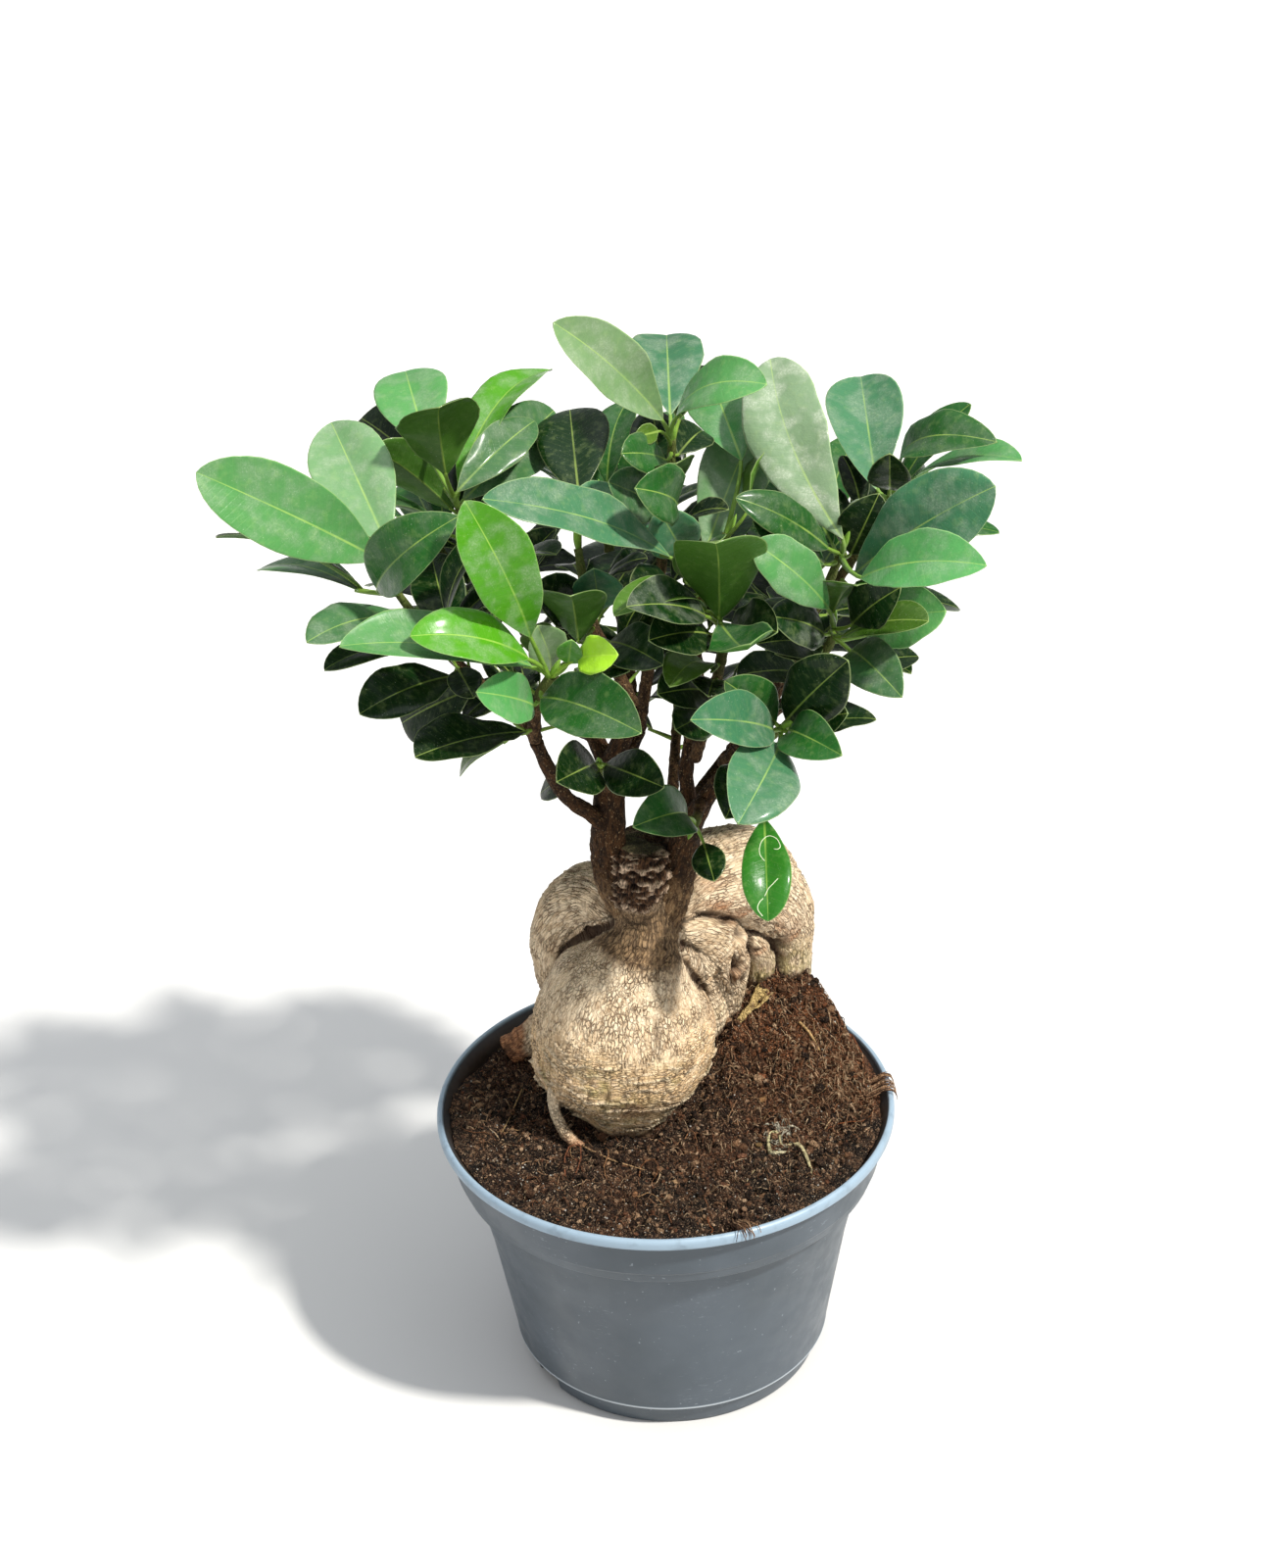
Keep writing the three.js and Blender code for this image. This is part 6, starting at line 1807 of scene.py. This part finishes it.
def add_leaf(pile, leaf, draw):
    shape = blade_shape(draw)
    small = leaf.long < SMALL_BLADE
    lines = COLUMNS[::2] if small else COLUMNS
    rows = 0.5 - 0.5 * np.cos(np.linspace(0.05, math.pi - 0.02, SMALL_ROWS if small else ROWS))
    share, across = grid_places(rows, lines)
    top = blade_points(leaf, share, across, shape)
    thin = BLADE_THICKNESS * (1 - 0.75 * np.abs(across) ** 8)
    thin = thin + 0.4 * (1 - 0.7 * share) * np.exp(-((across / 0.05) ** 2))
    reach = half_width(share, shape["foot"], shape["end"]) * leaf.wide / 2
    tint = np.array(linear(*TONES[leaf.tone])) * draw.uniform(0.86, 1.14)
    tint = tint * np.array([draw.uniform(0.9, 1.1), 1, 1])
    vein = (share * leaf.long - 0.55 * np.abs(across) * reach) / VEINS_APART + draw.uniform(0, 1)
    pile.add(
        np.vstack([top, top - thin[:, None] * leaf.normal]),
        sheet_faces(len(rows), len(lines)),
        tint=tint,
        under=np.repeat([0.0, 1.0], len(top)),
        glint=np.repeat([PAINTED_GLINT.get(leaf.tone, 0.0), 0.0], len(top)),
        margin=np.tile((1 - np.abs(across)) * reach, 2),
        rib=np.tile(np.abs(across) * reach / (1.05 - 0.75 * share), 2),
        vein=np.tile(vein, 2),
    )
    add_stalk(pile, leaf, tint)
    if leaf.tone == "scribble":
        add_trails(pile, leaf, shape)


# Pale tracks under the skin of one leaf, as share of its length and place across, -1 to 1
TRAILS = [
    [
        (0.37, 0.4), (0.375, 0.6), (0.34, 0.76), (0.28, 0.74), (0.235, 0.5), (0.225, 0.2), (0.25, -0.08),
        (0.31, -0.26), (0.37, -0.3), (0.42, -0.26), (0.455, -0.16), (0.48, -0.05),
    ],
    [(0.66, 0.45), (0.7, 0.25), (0.74, 0.04), (0.78, -0.06), (0.8, -0.12)],
    [(0.82, -0.2), (0.86, -0.44), (0.92, -0.66), (0.965, -0.6)],
]


def add_trails(pile, leaf, shape):
    for trail in TRAILS:
        places = smooth_curve([(share, across, 0) for share, across in trail], 40)
        path = blade_points(leaf, places[:, 0], places[:, 1], shape) + 0.05 * leaf.normal
        add_tube(pile, path, np.full(len(path), 0.17), 6, tint=linear(214, 224, 190), **NO_VEINS)


def add_stalk(pile, leaf, tint):
    """The stalk, from inside the twig along a curve into the foot of the blade."""
    foot = leaf.base + leaf.axis * 0.05 - leaf.normal * 0.4
    length = np.linalg.norm(leaf.base - leaf.root)
    bend = leaf.base - leaf.along * min(length * 0.45, 4)
    share = np.linspace(0, 1, 7)[:, None]
    path = leaf.root * (1 - share) ** 2 + 2 * bend * share * (1 - share) + foot * share**2
    thick = 0.8 if leaf.long < SMALL_BLADE else 1.0
    green = np.array(linear(128, 160, 62)) * 0.75 + 0.25 * tint
    add_tube(pile, path, np.linspace(thick, 0.6 * thick, 7), 7, tint=green, **NO_VEINS)


def add_bud(pile, place, heading, long, tint):
    """A pointed bud of rolled young leaf."""
    share = np.linspace(0, 1, 9)
    path = place + np.outer(share, heading * long)
    radii = 1.15 * np.sin(math.pi * (0.12 + 0.88 * share)) ** 0.8 + 0.03
    add_tube(pile, path, radii, 10, tint=tint, **NO_VEINS)


def add_twig(pile, path, radii, draw):
    """A twig with slight swellings where leaves stood."""
    path = np.asarray(path)
    pieces = []
    sizes = []
    for i, (start, end) in enumerate(zip(path, path[1:])):
        steps = max(3, int(np.linalg.norm(end - start) / 1.6))
        for k in range(steps + (i == len(path) - 2)):
            pieces.append(start + (end - start) * k / steps)
            sizes.append(radii[i] + (radii[i + 1] - radii[i]) * k / steps)
    pieces, sizes = np.array(pieces), np.array(sizes)
    travelled = np.append(0, np.cumsum(np.linalg.norm(np.diff(pieces, axis=0), axis=1)))
    swell = 1 + 0.14 * np.maximum(0, np.sin(travelled * 2 * math.pi / draw.uniform(5, 7))) ** 6
    vertices, faces, share = tube(pieces, sizes * swell, 12)
    bumps = 1 + 0.1 * noise(vertices, 2.2, 3)
    centre = np.vstack([np.repeat(pieces, 12, axis=0), pieces[0], pieces[-1]])
    vertices = centre + (vertices - centre) * bumps[:, None]
    crease = smoothstep(0.3, 0.7, -noise(vertices, 1.8, 5)) * 0.4
    grain = vertices * (MM, MM, MM * 0.5)
    green = smoothstep(0.45, 1.0, share) * 0.75
    pile.add(vertices, faces, crease=crease, green=green, aged=0.25, grain=grain)


def node_points(name):
    return mesh_points(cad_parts[name].data)


# Small shaded leaves inside the crown, which have no measured place
INNER = {
    "tries": 16, "first": 0.03, "last": 0.85, "long": (17, 31), "wide": (0.5, 0.64), "tilt": (45, 100),
    "stalk": (5, 9), "arch": (0.06, 0.16), "clear_of_blades": 3.0, "clear_of_wood": 1.5, "lowest": 236,
    "lowest_in_picture": 742,
}
CROWN = {"y": 5, "level": 215, "radius": 28, "widening": 0.75}


def blade_samples(leaf):
    share, across = grid_places(np.linspace(0.05, 0.97, 7), [-0.8, 0, 0.8])
    return blade_points(leaf, share, across, PLAIN_BLADE)


PLAIN_BLADE = {
    "foot": 1.0, "end": 0.52, "ragged": 0.0, "waves": 1.0, "phase": 0.0, "wave": 0.0, "fold": np.ones(2),
    "curl": np.zeros(2), "droop": 0.0, "twist": 0.0,
}


def wood_samples(stems):
    """Centres and radii along all twigs and both grafts."""
    paths = [[(*point, radius) for point, radius in zip(twig, radii)] for twig, radii, _, _ in stems.values()]
    paths += [seen_path(path) for graft in (LEFT_GRAFT, RIGHT_GRAFT) for path in graft.values()]
    pieces = []
    for path in paths:
        path = np.array(path)
        for start, end in zip(path, path[1:]):
            pieces.extend(start + (end - start) * share for share in np.linspace(0, 1, 8))
    pieces = np.array(pieces)
    return pieces[:, :3], pieces[:, 3]


def distance_between(some, others):
    return np.linalg.norm(some[:, None] - others, axis=2)


def add_inner_leaves(stems):
    """Small leaves at random places of the twigs, wherever one has room inside the crown."""
    draw = np.random.default_rng(77)
    blades = np.vstack([blade_samples(leaf) for _, _, leaves, _ in stems.values() for leaf in leaves])
    wood, thickness = wood_samples(stems)
    for twig, _, leaves, _ in stems.values():
        for _ in range(INNER["tries"]):
            point, heading = along_twig(twig, draw.uniform(INNER["first"], INNER["last"]))
            bearing = draw.uniform(0, 2 * math.pi)
            tilt = math.radians(draw.uniform(*INNER["tilt"]))
            long = draw.uniform(*INNER["long"])
            stalk = draw.uniform(*INNER["stalk"])
            wide = long * draw.uniform(*INNER["wide"])
            arch = draw.uniform(*INNER["arch"])
            leaf = grown_leaf(point, heading, bearing, tilt, stalk, long, wide, arch, "inner", rear=-0.35)
            samples = blade_samples(leaf)
            from_wood = (distance_between(samples, wood) - thickness).min()
            clear = distance_between(samples, blades).min() > INNER["clear_of_blades"]
            clear = clear and from_wood > INNER["clear_of_wood"] and samples[:, 2].min() > INNER["lowest"]
            if clear and picture_height(samples).max() < INNER["lowest_in_picture"] and inside_crown(samples):
                leaves.append(leaf)
                blades = np.vstack([blades, samples])


def inside_crown(points):
    """Whether all points are inside a round crown that widens upward."""
    reach = CROWN["radius"] + CROWN["widening"] * (points[:, 2] - CROWN["level"])
    return (np.hypot(points[:, 0], points[:, 1] - CROWN["y"]) < reach).all()


def make_leafy_stems(leaf_look, bark_look):
    draws = Draws(2024)
    stems = {}
    for name, stem in LEAFY_STEMS.items():
        twig = [seen_at(*point[:3]) for point in stem["twig"]]
        leaves = [measured_leaf(row, twig) for row in stem["leaves"].values()]
        stems[name] = (twig, [point[3] for point in stem["twig"]], leaves, stem.get("fill"))
    for name, stem in REAR_STEMS.items():
        twig = [np.array(point[:3], dtype=float) for point in stem["twig"]]
        stems[name] = (twig, [point[3] for point in stem["twig"]], [], stem["fill"])
    for name, (twig, _, leaves, fill) in stems.items():
        corners = node_points("leafy_stem_" + name)
        for i in range(fill["count"] if fill else 0):
            leaf = spiral_leaf(twig, fill, i, draws)
            if distance_to(corners, leaf.tip).min() < 1:  # the CAD has this leaf as well
                leaves.append(leaf)
    add_inner_leaves(stems)
    for name, (twig, radii, leaves, _) in stems.items():
        draw = np.random.default_rng(len(name) * 1000 + len(leaves))
        node = "leafy_stem_" + name
        wood, foliage = Pile(), Pile()
        add_twig(wood, twig, radii, draw)
        wood.build("twig_" + name, bark_look, "bark", node)
        for leaf in leaves:
            add_leaf(foliage, leaf, draw)
        heading = unit(twig[-1] - twig[-2])
        add_bud(foliage, twig[-1] - heading, heading, draw.uniform(7, 10), linear(126, 168, 62))
        foliage.build("leaves_" + name, leaf_look, "foliage", node)


# Light, floor and camera

FLOOR_WIDTH = 10.0  # metres
FILM_WIDTH = 36


def make_stage():
    half = FLOOR_WIDTH / 2
    mesh = bpy.data.meshes.new("floor")
    corners = [(-half, -half, 0), (half, -half, 0), (half, half, 0), (-half, half, 0)]
    mesh.from_pydata(corners, [], [(0, 1, 2, 3)])
    mesh.materials.append(floor_material())
    in_scene("floor", mesh)


def make_sun(name, toward, strength, angle, colour):
    """Light that comes from the direction toward."""
    light = bpy.data.lights.new(name, "SUN")
    light.energy = strength
    light.angle = math.radians(angle)
    light.color = colour
    in_scene(name, light).rotation_euler = Vector(toward).to_track_quat("Z", "Y").to_euler()


SKY = {"all_round": 0.32, "overhead": 1.9, "narrow": 5}


def make_light():
    """A sun from the right, a weak wide one from the front and a pale sky that is brightest overhead."""
    world = bpy.data.worlds.new("pale_sky")
    world.use_nodes = True
    tree = world.node_tree
    sky = tree.nodes["Background"]
    sky.inputs["Color"].default_value = (0.93, 0.96, 1.0, 1)
    split = tree.nodes.new("ShaderNodeSeparateXYZ")
    tree.links.new(tree.nodes.new("ShaderNodeTexCoord").outputs["Generated"], split.inputs[0])
    steps = [
        ("MAXIMUM", 0.0), ("POWER", SKY["narrow"]), ("MULTIPLY", SKY["overhead"]), ("ADD", SKY["all_round"]),
    ]
    value = split.outputs["Z"]
    for operation, number in steps:
        step = tree.nodes.new("ShaderNodeMath")
        step.operation = operation
        tree.links.new(value, step.inputs[0])
        step.inputs[1].default_value = number
        value = step.outputs[0]
    tree.links.new(value, sky.inputs["Strength"])
    bpy.context.scene.world = world
    make_sun("key", (0.52, -0.34, 0.79), 5.0, 4, (1.0, 0.965, 0.9))
    make_sun("fill", (-0.1, -0.85, 0.3), 0.5, 50, (1.0, 0.97, 0.93))


def make_camera():
    data = bpy.data.cameras.new("camera")
    data.sensor_fit = "AUTO"
    data.sensor_width = FILM_WIDTH
    data.lens = PICTURE["focal"] * FILM_WIDTH / PICTURE["height"]
    data.clip_end = 50
    camera = in_scene("camera", data)
    turn = Matrix(np.column_stack([RIGHT, UP, -FORWARD]).tolist()).to_4x4()
    camera.matrix_world = Matrix.Translation(Vector(EYE * MM)) @ turn
    bpy.context.scene.camera = camera


def main():
    make_camera()
    make_light()
    make_stage()
    bpy.context.scene.view_settings.view_transform = "Standard"
    soil_look, bark_look, leaf_look = soil_material(), bark_material(), leaf_material()
    make_pot()
    make_soil(soil_look)
    make_crumbs(soil_look)
    make_fibres(soil_look)
    make_dry_leaf(soil_look)
    root_look = rootstock_material()
    make_rootstock(root_look)
    make_front_root(root_look)
    make_graft("left_graft_stem", LEFT_GRAFT, bark_look, 40)
    make_graft("right_graft_stem", RIGHT_GRAFT, bark_look, 50)
    make_leafy_stems(leaf_look, bark_look)


main()
